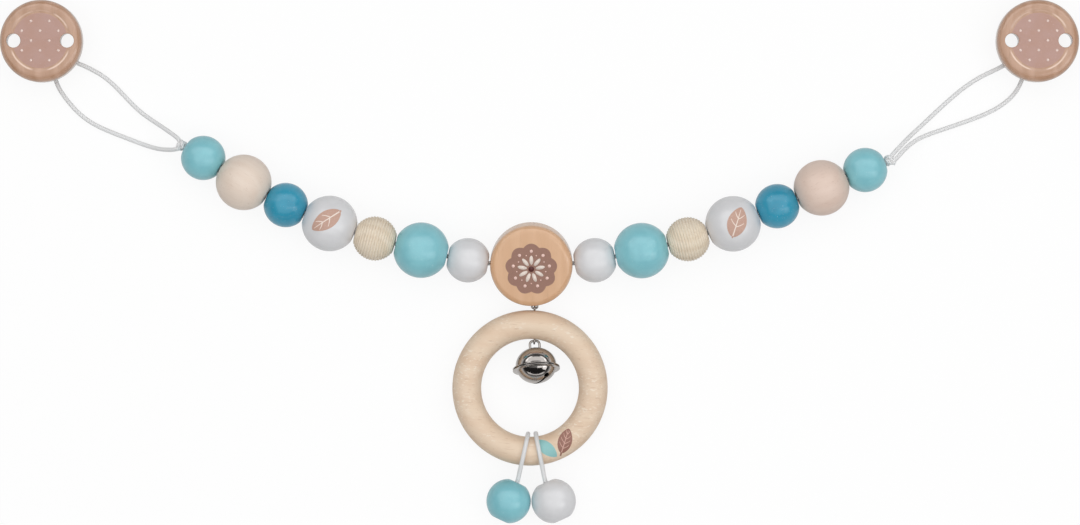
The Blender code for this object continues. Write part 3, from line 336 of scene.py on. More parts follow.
def metalMaterial(name, look):
    material, grow, point = startMaterial(name)
    look = {**handledLook, **look}
    smear = point.noise(look["smear"])
    fine = point.noise(look["scratch"], look["scratchAlong"])
    base = (smear * look["smearShare"]).blend(look["colour"], look["smearColour"])
    rough = smear * look["shares"][0] + fine * look["shares"][1]
    rough = rough.spread(look["roughness"] * look["smoothest"], look["roughness"] * look["roughest"],
                         *look["edges"])
    return finished(material, grow, look, base, rough, fine, look["bump"])


def plasticMaterial(name, look):
    material, grow, point = startMaterial(name)
    base = point.noise(look["cloud"]).blend(look["colour"], look["shade"])
    grain = point.noise(look["grain"])
    return finished(material, grow, look, base, look["roughness"], grain, look["bump"])


finishes = {name: makeFinish(name, look)
            for makeFinish, looks in ((woodMaterial, woodLooks), (paintMaterial, paintLooks),
                                      (inkMaterial, inkLooks), (braidMaterial, braidLooks),
                                      (metalMaterial, metalLooks), (plasticMaterial, plasticLooks))
            for name, look in looks.items()}
print("finishes made:", len(finishes))

# shapes

sharpAngle = 40  # of an edge that isn't shaded smooth, in degrees
bendSteps = 8  # in a quarter turn of a wire or a small edge
wireRounds = 5
sameSpot = 1e-7
asBuilt = Matrix()  # the place of a piece whose mesh is already where it belongs


def frameOf(origin, x, y, z):
    return Matrix.Translation(origin) @ Matrix((x, y, z)).transposed().to_4x4()


def facing(origin, z):  # a frame whose Z runs along a direction
    return Matrix.Translation(origin) @ Vector(z).to_track_quat("Z", "Y").to_matrix().to_4x4()


def softened(outline, steps=4):  # (radius, height, rounding) points with their corners rounded
    soft = []
    for i, (*point, rounding) in enumerate(outline):
        here = Vector(point)
        if not rounding:
            soft.append(tuple(point))
            continue
        before = Vector(outline[i - 1][:2])
        after = Vector(outline[(i + 1) % len(outline)][:2])
        start = here + (before - here).normalized() * rounding
        end = here + (after - here).normalized() * rounding
        for k in range(steps + 1):
            t = k / steps
            soft.append(tuple(start * (1 - t) ** 2 + here * 2 * t * (1 - t) + end * t * t))
    return soft


def arcPoints(centre, radius, start, end, steps):
    return [(centre[0] + radius * math.cos(start + (end - start) * k / steps),
             centre[1] + radius * math.sin(start + (end - start) * k / steps))
            for k in range(steps + 1)]


def circlePoints(radius, count, start=0.0):
    return arcPoints((0, 0), radius, start, start + 2 * math.pi, count)[:-1]


def lathe(outline, sides):  # a closed outline of (radius, height) points turned round Z
    shape = bmesh.new()
    rings = []
    for radius, height in outline:
        if radius < sameSpot:
            rings.append([shape.verts.new((0, 0, height))] * sides)
        else:
            rings.append([shape.verts.new((x, y, height)) for x, y in circlePoints(radius, sides)])
    for upper, lower in zip(rings, rings[1:] + rings[:1]):
        for k in range(sides):
            n = (k + 1) % sides
            corners = list(dict.fromkeys((upper[k], upper[n], lower[n], lower[k])))
            if len(corners) > 2:
                shape.faces.new(corners)
    return shape


def rod(radius, half, sides):
    return lathe([(0, half), (radius, half), (radius, -half), (0, -half)], sides)


def toMesh(shape, grainShift=(0, 0, 0)):  # keeps each point's own place for the wood grain
    bmesh.ops.remove_doubles(shape, verts=shape.verts, dist=sameSpot)
    bmesh.ops.recalc_face_normals(shape, faces=shape.faces)
    layer = shape.verts.layers.float_vector.new("woodPoint")
    for vert in shape.verts:
        vert[layer] = vert.co + Vector(grainShift)
    mesh = bpy.data.meshes.new("mesh")
    shape.to_mesh(mesh)
    shape.free()
    mesh.shade_smooth()
    return mesh


def asPiece(name, mesh, place, material, body, nodes, sharp=None):
    mesh.name = name
    mesh.transform(place)
    mesh.materials.clear()
    for item in [material] if isinstance(material, str) else material:
        mesh.materials.append(finishes[item])
    if sharp:
        mesh.set_sharp_from_angle(angle=math.radians(sharp))
    piece = linked(name, mesh)
    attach(piece, body)
    if nodes:
        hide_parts(*nodes)
    return piece


def settled(holder):  # the mesh that an object's modifiers give, without the object
    graph = bpy.context.evaluated_depsgraph_get()
    mesh = bpy.data.meshes.new_from_object(holder.evaluated_get(graph))
    bpy.data.objects.remove(holder, do_unlink=True)
    return mesh


def carved(mesh, tools):  # the mesh with each (bmesh, place) tool cut away
    holder = linked("holder", mesh)
    cutters = []
    for shape, place in tools:
        cutter = linked("cutter", toMesh(shape))
        cutter.data.transform(place)
        cutters.append(cutter)
        change = holder.modifiers.new("cut", "BOOLEAN")
        change.object, change.solver, change.operation = cutter, "EXACT", "DIFFERENCE"
    mesh = settled(holder)
    for cutter in cutters:
        bpy.data.objects.remove(cutter, do_unlink=True)
    return mesh


def lineCurve(points, closed=False):
    curve = bpy.data.curves.new("line", "CURVE")
    curve.dimensions = "3D"
    spline = curve.splines.new("POLY")
    spline.points.add(len(points) - 1)
    spline.use_cyclic_u = closed
    for target, point in zip(spline.points, points):
        target.co = (*point, 1)
    return curve


def wireMesh(points, diameter):
    curve = lineCurve(points)
    curve.bevel_depth = diameter / 2
    curve.bevel_resolution = wireRounds
    curve.use_fill_caps = True
    mesh = settled(linked("holder", curve))
    mesh.shade_smooth()
    return mesh


def pointMesh(places):
    mesh = bpy.data.meshes.new("points")
    mesh.from_pydata([tuple(p) for p in places], [], [])
    return mesh


def curveThrough(route, spacing, between=12):  # evenly spaced points on a smooth curve, its length
    fine = []
    padded = [route[0], *route, route[-1]]
    for a, b, c, d in zip(padded, padded[1:], padded[2:], padded[3:]):
        for t in (k / between for k in range(between)):
            fine.append(b + (c - a) * (t / 2) + (a - b * 2.5 + c * 2 - d / 2) * t * t
                        + (b * 3 - a - c * 3 + d) * (t ** 3 / 2))
    fine.append(route[-1])
    reach = [0.0]
    for before, after in zip(fine, fine[1:]):
        reach.append(reach[-1] + (after - before).length)
    steps = round(reach[-1] / spacing)
    found, k = [], 0
    for i in range(steps + 1):
        wanted = reach[-1] * i / steps
        while k < len(fine) - 2 and reach[k + 1] < wanted:
            k += 1
        found.append(fine[k].lerp(fine[k + 1], (wanted - reach[k]) / (reach[k + 1] - reach[k])))
    return found, reach[-1]


# geometry node trees: an input has the name of the size that fills it

def startTree(name, **inputs):
    tree = bpy.data.node_groups.new(name, "GeometryNodeTree")
    inputs = {"geometry": "Geometry", **inputs, "material": "Material"}
    for label, kind in inputs.items():
        tree.interface.new_socket(label, in_out="INPUT", socket_type="NodeSocket" + kind)
    tree.interface.new_socket("geometry", in_out="OUTPUT", socket_type="NodeSocketGeometry")
    grow = grower(tree)
    return tree, grow, grow("NodeGroupInput", take=tuple(inputs))


def endTree(grow, geometry, material):
    smooth = grow("GeometryNodeSetShadeSmooth", {"Geometry": geometry})
    whole = grow("GeometryNodeRealizeInstances", {0: smooth})
    dressed = grow("GeometryNodeSetMaterial", {"Geometry": whole, "Material": material})
    grow("NodeGroupOutput", {0: dressed})


def grownMesh(tree, source, look, finish):  # what a tree makes of a mesh or curve
    holder = linked("holder", source)
    change = holder.modifiers.new("grow", "NODES")
    change.node_group = tree
    values = {**look, "material": finishes[finish]}
    for socket in tree.interface.items_tree:
        if socket.in_out == "INPUT" and socket.name in values:
            change[socket.identifier] = values[socket.name]
    return settled(holder)


def kept(grow, geometry, name, value, kind="FLOAT"):
    return grow("GeometryNodeStoreNamedAttribute",
                {"Geometry": geometry, "Name": name, "Value": value}, data_type=kind)


def recalled(grow, name):
    return grow("GeometryNodeInputNamedAttribute", {"Name": name}, data_type="FLOAT")


def circle(grow, sides, radius):
    return grow("GeometryNodeCurvePrimitiveCircle", {"Resolution": sides, "Radius": radius},
                mode="RADIUS")


def makeBraidTree():  # a round braid of strands that pass over and under each other
    tree, grow, (route, across, lay, strands, depth, step, sides, material) = startTree(
        "braidedCord", across="Float", lay="Float", strands="Int", depth="Float", step="Float",
        sides="Int")
    line = grow("GeometryNodeResampleCurve", {"Curve": route, "Length": step}, mode="LENGTH")
    line = kept(grow, line, "along", grow("GeometryNodeSplineParameter", take="Length"))
    hoop = circle(grow, sides, across / 2.0)
    hoop = kept(grow, hoop, "around", grow("GeometryNodeSplineParameter", take="Factor"))
    tube = grow("GeometryNodeCurveToMesh", {"Curve": line, "Profile Curve": hoop,
                                            "Fill Caps": True})
    turn = recalled(grow, "around") * strands
    run = recalled(grow, "along") / lay * strands

    def strand(own, other, sign, rise=0.4):
        crest = ((own.calc("FRACT") - 0.5) * math.pi).calc("COSINE")
        lift = ((own.calc("FLOOR") + other - 0.5) * math.pi).calc("COSINE") * (rise * sign)
        return crest * (lift + (1 - rise))

    right, left = turn + run, turn - run
    weave = strand(right, left, 1.0).calc("MAXIMUM", strand(left, right, -1.0))
    tube = kept(grow, tube, "weave", weave)
    sunk = (recalled(grow, "weave") - 1.0) * depth
    offset = grow("ShaderNodeVectorMath", {0: grow("GeometryNodeInputNormal"), "Scale": sunk},
                  operation="SCALE")
    moved = grow("GeometryNodeSetPosition", {"Geometry": tube, "Offset": offset})
    endTree(grow, moved, material)
    return tree


def makeRidgeTree():  # turned ridges round a ball, from one end of its bore to the other
    tree, grow, (ball, ridges, radius, endAngle, ridge, sides, ridgeSides, material) = startTree(
        "turnedRidges", ridges="Int", radius="Float", endAngle="Float", ridge="Float",
        sides="Int", ridgeSides="Int")
    share = (grow("GeometryNodeInputIndex") + 0.5) / ridges
    angle = share * (endAngle * -2.0 + math.pi) + endAngle
    inner = radius - ridge
    width = angle.calc("SINE") * inner
    place = grow("ShaderNodeCombineXYZ", {2: angle.calc("COSINE") * inner})
    points = grow("GeometryNodePoints", {"Count": ridges})
    points = grow("GeometryNodeSetPosition", {"Geometry": points, "Position": place})
    size = grow("ShaderNodeCombineXYZ", {0: width, 1: width, 2: width})
    hoops = grow("GeometryNodeInstanceOnPoints", {
        "Points": points, "Instance": circle(grow, sides, 1.0), "Scale": size})
    hoops = grow("GeometryNodeRealizeInstances", {0: hoops})
    turned = grow("GeometryNodeCurveToMesh", {
        "Curve": hoops, "Profile Curve": circle(grow, ridgeSides, ridge)})
    both = grow("GeometryNodeJoinGeometry", {0: [ball, turned]})
    both = kept(grow, both, "woodPoint", grow("GeometryNodeInputPosition"), "FLOAT_VECTOR")
    endTree(grow, both, material)
    return tree


def makeDotTree():  # a thin printed dot on every point of a mesh, turned to face outwards from Z
    tree, grow, (points, long, wide, thick, radial, sides, material) = startTree(
        "printedDots", long="Float", wide="Float", thick="Float", radial="Float", sides="Int")
    dot = grow("GeometryNodeMeshCylinder", {"Vertices": sides, "Radius": 1.0, "Depth": 1.0})
    x, y = grow("ShaderNodeSeparateXYZ", {0: grow("GeometryNodeInputPosition")}, (0, 1))
    turned = grow("ShaderNodeCombineXYZ", {2: y.calc("ARCTAN2", x) * radial})
    size = grow("ShaderNodeCombineXYZ", {0: long, 1: wide, 2: thick})
    dots = grow("GeometryNodeInstanceOnPoints", {
        "Points": points, "Instance": dot, "Rotation": turned, "Scale": size})
    endTree(grow, dots, material)
    return tree


braidTree, ridgeTree, dotTree = makeBraidTree(), makeRidgeTree(), makeDotTree()
print("node trees made")

# places read from the record's joints

def jointPoint(name):
    return Vector(joints[name]["pos_m"])


def jointAxis(name):
    return Vector(joints[name]["axis"]).normalized()


def boxMiddle(node):
    low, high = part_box(node)
    return (Vector(low) + Vector(high)) / 2


crown = jointPoint("ring_swing")
ringMiddle = boxMiddle("wooden_ring")
ringUp = (crown - ringMiddle).normalized()
ringRight = ringUp.cross(Vector((0, 0, 1))).normalized()
ringFrame = frameOf(ringMiddle, ringRight, ringUp, ringRight.cross(ringUp))
discMiddle = jointPoint("centre_disc_spin")
discUp = discMiddle - crown
discUp.x = 0
discUp.normalize()
discRight = Vector((1, 0, 0))
discFrame = frameOf(discMiddle, discRight, discUp, discRight.cross(discUp))
bellRight = jointAxis("bell_swing")
bellBack = -jointAxis("pellet_roll")
bellFrame = frameOf(jointPoint("bell_swing"), bellRight, bellBack, bellRight.cross(bellBack))


def pendantFrame(side):  # origin in the ring's tube, Z up the strands
    hook = jointPoint(side + "_pendant_swing")
    across = jointAxis(side + "_pendant_swing") * (1 if side == "left" else -1)
    up = hook - jointPoint(side + "_pendant_bead_spin")
    up = (up - across * up.dot(across)).normalized()
    return frameOf(hook, across, up.cross(across), up)


# cords: the routes that the CAD cords follow, in millimetres

cordLook = {
    "diameter": 0.0019, "spacing": 0.0009,
    "across": 0.00206,  # over the crests of the strands
    "lay": 0.0052, "strands": 5, "depth": 0.0002, "step": 0.0003, "sides": 30,
}
knotLooks = {
    "row": {"reach": 0.00172, "rise": 0.00105, "points": 60},
    "pendant": {"reach": 0.00148, "rise": 0.00115, "points": 60},
    "tails": {"left": (-0.0024, -0.0021, 0.0004), "right": (0.0031, -0.0013, 0.0004)},
    "tailSteps": 5,
    "into": 0.8,  # how far a cord's end runs towards its knot's middle
}
chainRoute = [
    (-159.04, 51.16, 9.86), (-153.33, 47.72, 10.31), (-147.51, 44.22, 10.78),
    (-141.72, 40.75, 11.61), (-135.89, 37.23, 11.93), (-130.05, 33.72, 12.17),
    (-124.20, 30.23, 12.34), (-118.16, 27.15, 11.98), (-111.98, 24.27, 11.99),
    (-105.79, 21.41, 12.00), (-99.45, 18.93, 12.00), (-93.09, 16.48, 12.00),
    (-86.72, 14.05, 12.00), (-80.26, 11.89, 12.00), (-73.68, 10.11, 11.98), (-67.09, 8.36, 12.00),
    (-60.51, 6.72, 12.30), (-53.88, 5.12, 12.11), (-47.26, 3.53, 11.85), (-40.75, 2.02, 10.92),
    (-34.07, 0.73, 10.48), (-27.38, -0.52, 10.30), (-20.64, -1.29, 10.56), (-13.82, -1.33, 10.64),
    (-7.01, -1.35, 10.65), (-0.19, -1.35, 10.65), (6.62, -1.33, 10.64), (13.44, -1.29, 10.56),
    (20.18, -0.52, 10.30), (26.87, 0.73, 10.48), (33.55, 2.01, 10.92), (40.08, 3.43, 11.85),
    (46.74, 4.90, 12.11), (53.39, 6.38, 12.30), (59.98, 7.97, 12.00), (66.56, 9.77, 11.98),
    (73.12, 11.61, 12.00), (79.56, 13.83, 12.00), (85.90, 16.32, 12.00), (92.24, 18.83, 12.00),
    (98.58, 21.34, 12.00), (104.90, 23.89, 11.99), (111.22, 26.44, 11.98), (117.50, 29.02, 12.34),
    (123.77, 31.68, 12.17), (130.04, 34.34, 11.93), (136.31, 37.00, 11.61),
    (142.58, 39.48, 10.78), (148.93, 41.91, 10.31), (155.15, 44.30, 9.86),
]
loopRoutes = {
    "left": [
        (-164.01, 50.34, 9.50), (-167.97, 50.06, 7.13), (-171.53, 50.55, 4.21),
        (-175.46, 51.52, 1.99), (-179.75, 52.91, 1.10), (-184.04, 54.67, 1.10),
        (-188.38, 56.28, 1.10), (-192.71, 57.93, 1.10), (-196.99, 59.70, 1.10),
        (-201.17, 61.71, 1.10), (-205.11, 64.14, 1.10), (-208.67, 67.10, 1.10),
        (-211.80, 70.51, 1.10), (-214.69, 74.13, 1.10), (-217.38, 77.91, 1.09),
        (-219.24, 82.12, 1.24), (-219.48, 86.71, 1.65), (-219.19, 87.84, 1.80),
        (-218.83, 88.88, 2.22), (-218.35, 89.75, 2.86), (-217.71, 90.41, 3.60),
        (-216.89, 90.81, 4.35), (-215.90, 91.00, 5.03), (-214.80, 91.02, 5.48),
        (-213.65, 90.94, 5.65), (-209.26, 89.88, 4.46), (-205.30, 88.11, 2.66),
        (-201.28, 86.06, 1.48), (-197.20, 83.81, 1.14), (-193.60, 80.84, 1.08),
        (-190.32, 77.51, 1.10), (-187.12, 74.09, 1.09), (-183.90, 70.71, 1.10),
        (-180.58, 67.42, 1.21), (-176.78, 64.82, 1.91), (-173.09, 62.41, 3.48),
        (-169.53, 60.12, 5.46), (-166.11, 57.91, 7.76), (-162.71, 55.24, 9.50),
    ],
    "right": [
        (160.30, 45.92, 9.50), (163.51, 49.24, 8.10), (166.63, 52.29, 6.05),
        (170.09, 54.74, 3.74), (174.14, 56.68, 2.02), (178.61, 58.27, 1.16),
        (183.20, 59.76, 1.10), (187.76, 61.35, 1.10), (192.32, 62.94, 1.10),
        (196.86, 64.57, 1.10), (201.37, 66.31, 1.10), (205.72, 68.40, 1.10),
        (209.85, 70.90, 1.10), (213.57, 73.96, 1.10), (216.59, 77.72, 1.09),
        (218.61, 82.08, 1.25), (219.56, 86.79, 1.65), (219.28, 87.91, 1.79),
        (218.92, 88.96, 2.22), (218.43, 89.84, 2.86), (217.78, 90.50, 3.62),
        (216.95, 90.90, 4.37), (215.96, 91.09, 5.00), (214.84, 91.10, 5.42),
        (213.74, 91.02, 5.55), (209.97, 88.23, 4.58), (205.87, 86.33, 2.96),
        (201.62, 84.49, 1.69), (197.46, 82.16, 1.19), (193.45, 79.52, 1.07),
        (189.64, 76.60, 1.10), (186.01, 73.45, 1.10), (182.45, 70.23, 1.08),
        (178.89, 67.00, 1.09), (175.42, 63.69, 1.35), (171.97, 60.51, 2.30),
        (168.58, 57.60, 4.07), (165.39, 54.65, 6.10), (162.43, 51.54, 8.25),
        (159.20, 48.22, 9.50),
    ],
}
pendantRoutes = {  # in the pendant's own frame, one side of the loop up to its top
    "left": [
        (-3.08, 1.08, -28.05), (-2.44, 1.08, -25.28), (-1.80, 1.08, -22.51),
        (-1.16, 1.06, -19.74), (-0.49, 1.01, -16.98), (0.09, 1.13, -14.20), (0, 2.56, -11.80),
        (0, 3.91, -9.30), (0, 5.26, -6.79), (0, 6.59, -4.28), (0, 7.83, -1.73), (0, 7.83, 1.04),
        (0, 6.97, 3.73), (0, 5.21, 5.94), (0, 2.78, 7.40), (0, 0, 7.90),
    ],
    "right": [
        (3.08, 1.08, -28.05), (2.44, 1.08, -25.28), (1.81, 1.08, -22.52), (1.16, 1.06, -19.76),
        (0.50, 1.01, -17.00), (-0.08, 1.12, -14.23), (0, 2.53, -11.83), (0, 3.87, -9.33),
        (0, 5.21, -6.82), (0, 6.53, -4.31), (0, 7.77, -1.76), (0, 7.79, 0.99), (0, 6.94, 3.68),
        (0, 5.19, 5.90), (0, 2.78, 7.35), (0, 0, 7.86),
    ],
}


def metres(route):
    points = [Vector(p) / 1000 for p in route]
    eased = [(a + b * 2 + c) / 4 for a, b, c in zip(points, points[1:], points[2:])]
    return [points[0], *eased, points[-1]]


def braided(points, closed=False):
    return grownMesh(braidTree, lineCurve(points, closed), cordLook, "braid")


def makeCord(name, route, body, node):
    points, length = curveThrough(route, cordLook["spacing"])
    piece = asPiece(name, braided(points), asBuilt, "braid", body, [node])
    print(name, "is", round(length * 1000, 1), "mm long")


def makeKnot(name, place, body, node, look):  # a pulled-tight overhand knot
    points = []
    for i in range(look["points"]):
        turn = 2 * math.pi * i / look["points"]
        out = (2 + math.cos(3 * turn)) / 3 * look["reach"]
        points.append((out * math.cos(2 * turn), out * math.sin(2 * turn),
                       math.sin(3 * turn) * look["rise"]))
    return asPiece(name, braided(points, True), place, "braid", body, [node])


def intoKnots(route, first, last):  # both ends run on into the knots that hold them
    share = knotLooks["into"]
    return [route[0].lerp(first, share), *route, route[-1].lerp(last, share)]


def makeCords():
    middles = [boxMiddle(side + "_knot") for side in ("left", "right")]
    for side, middle in zip(("left", "right"), middles):
        towards = middle - jointPoint(side + "_end_teal_bead_spin")
        knot = makeKnot(side + "LoopKnot", facing(middle, towards), "cord", side + "_knot",
                        knotLooks["row"])
        steps, end = knotLooks["tailSteps"], Vector(knotLooks["tails"][side])
        tail = [middle + end * (k / steps) for k in range(1, steps + 1)]
        tail = asPiece(side + "KnotTail", braided(tail), asBuilt, "braid", "cord", ())
        makeCord(side + "LoopCord", intoKnots(metres(loopRoutes[side]), middle, middle), "cord",
                 side + "_loop_cord")
        half = metres(pendantRoutes[side])
        other = [Vector((p.x, -p.y, p.z)) for p in reversed(half[:-1])]
        hanging = [pendantFrame(side) @ p for p in (*half, *other)]
        body, inBead = side + "_pendant", boxMiddle(side + "_pendant_knot")
        knot = makeKnot(side + "PendantKnot", facing(inBead, jointAxis(body + "_bead_spin")), body,
                        body + "_knot", knotLooks["pendant"])
        makeCord(side + "PendantCord", intoKnots(hanging, inBead, inBead), body, body + "_cord")
    makeCord("chainCord", intoKnots(metres(chainRoute), *middles), "cord", "chain_cord")


# beads

beadLook = {
    "small": {"radius": 0.010, "length": 0.0183},
    "big": {"radius": 0.0125, "length": 0.0236},
    "bore": 0.0021, "mouthRound": 0.0005, "shoulderRound": 0.0007, "shoulderLead": 0.00091,
    "pocket": 0.0032, "pocketDepth": 0.0046, "pocketBore": 0.0024, "pocketRound": 0.0003,
    "sides": 80, "ballSteps": 40, "grainSteps": (0.05, 0.07, 0.031),
}
beadKinds = {  # a body's ending: size, finish, slot
    "white_bead": ("small", "bluishWhite", "white"),
    "light_teal_bead": ("big", "lightTeal", "light_teal"),
    "leaf_bead": ("big", "bluishWhite", "white"),
    "deep_blue_bead": ("small", "deepBlue", "deep_blue"),
    "natural_bead": ("big", "naturalBead", "natural"),
    "end_teal_bead": ("small", "lightTeal", "light_teal"),
}
pendantKinds = {  # finish, slot, and where its grain is taken from
    "left": ("lightTeal", "light_teal", (0.4, 0.2, 0.1)),
    "right": ("bluishWhite", "white", (0.5, 0.2, 0.1)),
}
ridgeLook = {"ridges": 17, "ridge": 0.00062, "sides": 96, "ridgeSides": 10,
             "ballSunk": 0.00042}  # from the ridges' crests to the ball that carries them


def beadOutline(kind, sunk=0.0, pocketed=False):
    look, size = beadLook, beadLook[kind]
    half, radius = size["length"] / 2, size["radius"] - sunk
    start = math.acos(half / size["radius"])
    flat = size["radius"] * math.sin(start)
    start += look["shoulderLead"] / radius
    arc = arcPoints((0, 0), radius, start, math.pi - start, look["ballSteps"])
    ball = [(out, height, 0) for height, out in arc]
    mouth, shoulder, inner = look["mouthRound"], look["shoulderRound"], look["pocketRound"]
    bore, ends = look["bore"], [(look["bore"], -half, mouth)]
    if pocketed:
        bore, floor = look["pocketBore"], look["pocketDepth"] - half
        ends = [(look["pocket"], -half, mouth), (look["pocket"], floor, inner),
                (bore, floor, inner)]
    return softened([(bore, half, mouth), (flat, half, shoulder), *ball, (flat, -half, shoulder),
                     *ends])


def makeBead(name, body, mesh, finish):
    place = facing(jointPoint(body + "_spin"), jointAxis(body + "_spin"))
    asPiece(name, mesh, place, finish, body, [body])


def makeBeads():
    sides, small, (x, y, z) = beadLook["sides"], beadLook["small"], beadLook["grainSteps"]
    for n, side in enumerate(("left", "right")):
        for k, (ending, (kind, finish, slot)) in enumerate(beadKinds.items()):
            if side == "right" and ending == "natural_bead":
                finish = "rosyBead"
            mesh = toMesh(lathe(beadOutline(kind), sides), (x * k, y * n, z * k))
            makeBead(side + ending.title().replace("_", ""), side + "_" + ending, mesh, finish)
        ball = toMesh(lathe(beadOutline("small", ridgeLook["ballSunk"]), sides))
        end = math.acos(small["length"] / 2 / small["radius"])
        mesh = grownMesh(ridgeTree, ball, {**ridgeLook, "radius": small["radius"], "endAngle": end},
                         "groovedBead")
        makeBead(side + "GroovedBead", side + "_grooved_bead", mesh, "groovedBead")
        finish, slot, grain = pendantKinds[side]
        mesh = toMesh(lathe(beadOutline("small", pocketed=True), sides), grain)
        makeBead(side + "PendantBead", side + "_pendant_bead", mesh, finish)


# centre disc, its staple, the ring and its eyes

discLook = {"radius": 0.0185, "thick": 0.013, "edge": 0.003, "edgeSteps": 12, "bore": 0.0023,
            "sides": 144, "boreSides": 48, "holeSides": 20, "staple": 0.0034,
            "stapleCorner": 0.0009, "stapleDepth": 0.006, "wire": 0.0009, "fit": 0.0003}
ringLook = {"reach": 0.0285, "tube": 0.0065, "sides": 168, "tubeSides": 56}
eyeLook = {"radius": 0.0012, "neck": 0.0011, "shank": 0.0036, "opening": 38.0, "steps": 32,
           "bend": [(0.25, 0.42), (0.6, 0.12), (1.0, 0.0)]}  # how the loop runs into the neck


def hoopLine(leg, foot, tip, corner):  # a wire bent twice between its two feet
    sign = 1 if tip > foot else -1
    half = [(leg, foot), *arcPoints((leg - corner, tip - sign * corner), corner, 0,
                                    sign * math.pi / 2, bendSteps)]
    return [(-x, y) for x, y in half] + half[::-1]


def makeDisc(look):
    radius, half, edge = look["radius"], look["thick"] / 2, look["edge"]
    corner, steps = radius - edge, look["edgeSteps"]
    outline = [(0, half), *arcPoints((corner, half - edge), edge, math.pi / 2, 0, steps),
               *arcPoints((corner, edge - half), edge, 0, -math.pi / 2, steps), (0, -half)]
    bore = rod(look["bore"], radius * 2, look["boreSides"])
    tools = [(bore, Matrix.Rotation(math.pi / 2, 4, "Y"))]
    leg, depth = (look["staple"] - look["wire"]) / 2, look["stapleDepth"] + look["fit"]
    shift, upright = (crown - discMiddle).x, Matrix.Rotation(math.pi / 2, 4, "X")
    for x in (shift - leg, shift + leg):
        hole = rod((look["wire"] + look["fit"]) / 2, depth, look["holeSides"])
        tools.append((hole, Matrix.Translation((x, -radius, 0)) @ upright))
    mesh = carved(toMesh(lathe(outline, look["sides"])), tools)
    asPiece("centreDisc", mesh, discFrame, "discBirch", "centre_disc", ["centre_disc"],
            sharpAngle)
    tip = -(discMiddle - crown).yz.length
    line = hoopLine(leg, look["stapleDepth"] - radius, tip, look["stapleCorner"])
    asPiece("discStaple", wireMesh([(x + shift, y, 0) for x, y in line], look["wire"]), discFrame,
            "wire", "centre_disc", ["disc_staple"])


def makeRing(look):
    section = [(look["reach"] + x, y) for x, y in circlePoints(look["tube"], look["tubeSides"])]
    mesh = toMesh(lathe(section[::-1], look["sides"]))
    asPiece("grabRing", mesh, ringFrame, "ringBeech", "ring", ["wooden_ring"])


def makeEyes(look):
    wire, radius, neck = discLook["wire"], look["radius"], look["neck"]
    opening = math.radians(look["opening"])
    loop = arcPoints((0, 0), radius, opening, 2 * math.pi - opening, look["steps"])
    line = [(0, -x, y) for x, y in loop]
    line += [(0, -radius - neck * share, -radius * off) for share, off in look["bend"]]
    line += [(0, -radius - wire / 2 - discLook["fit"] - look["shank"], 0)]
    top = Matrix.Translation(crown) @ ringFrame.to_3x3().to_4x4()
    hinge, flat = jointPoint("bell_swing"), ringFrame.col[2].to_3d()
    outward = (hinge - ringMiddle).normalized()
    inside = frameOf(hinge, flat.cross(outward), -outward, flat)
    for name, place, node in (("ringEye", top, "ring_screw_eye"),
                              ("bellEye", inside, "bell_screw_eye")):
        asPiece(name, wireMesh(line, wire), place, "wire", "ring", [node])


# bell

bellLook = {
    "radius": 0.0092, "half": 0.00815, "neck": 0.0033, "wall": 0.0006,
    "seam": 0.01065, "seamLow": 0.0016, "lip": 0.00045, "gap": 0.0003, "lipRound": 0.00018,
    "seamRound": 0.0004, "slit": 0.0010, "slitTurn": -45.0, "slitTop": 0.9, "slitPast": 0.001,
    "hole": 0.0013, "holeAngle": 47.0, "holeSides": 32,
    "bail": 0.0054, "bailCorner": 0.0016, "bailInside": 0.0018, "wire": 0.0011,
    "bailHoleFit": 0.00015, "bailHoleHalf": 0.003, "bailHoleSides": 24,
    "pellet": 0.0025, "pelletSides": (32, 20), "pelletWaves": 5, "pelletDents": 0.02,
    "sides": 96, "steps": 28,
}


def shellOutline(look, sign):  # sign is 1 for the upper shell, -1 for the lower one
    inner = -look["seamLow"] + sign * look["gap"] / 2
    outer = inner + sign * look["lip"]
    radius, tall, wall, steps = look["radius"], look["half"], look["wall"], look["steps"]

    def curve(width, height):
        start = -sign * math.asin(abs(outer) / height)
        angles = [start + (math.pi / 2 - start) * k / steps for k in range(steps)]
        return [(width * math.cos(a), sign * height * math.sin(a), 0) for a in angles] + [
            (0, sign * height, 0)]

    first, *skin = curve(radius, tall)
    rim = [(*first[:2], look["seamRound"]), (look["seam"], outer, look["lipRound"]),
           (look["seam"], inner, look["lipRound"]), (radius - wall, inner, 0)]
    return softened([*reversed(skin), *rim, *curve(radius - wall, tall - wall)])


def bailHoles(look):
    leg, radius = (look["bail"] - look["wire"]) / 2, look["wire"] / 2 + look["bailHoleFit"]
    return [(rod(radius, look["bailHoleHalf"], look["bailHoleSides"]),
             Matrix.Translation((x, 0, look["half"]))) for x in (-leg, leg)]


def slitAndHoles(look):  # a slit that ends in two round holes
    around = Matrix.Rotation(math.radians(look["slitTurn"]), 4, "Z")
    angle, half = math.radians(look["holeAngle"]), look["half"]
    top, bottom = -half * math.cos(angle) * look["slitTop"], -half - look["slitPast"]
    slit = bmesh.new()
    bmesh.ops.create_cube(slit, size=1)
    for vert in slit.verts:
        vert.co = Vector((vert.co.x * 2 * look["radius"] * math.sin(angle),
                          vert.co.y * look["slit"], top if vert.co.z > 0 else bottom))
    tools = [(slit, around)]
    for sign in (-1, 1):
        tip = Matrix.Rotation(-sign * angle, 4, "Y") @ Matrix.Translation((0, 0, -look["radius"]))
        tools.append((rod(look["hole"], 2 * look["hole"], look["holeSides"]), around @ tip))
    return tools


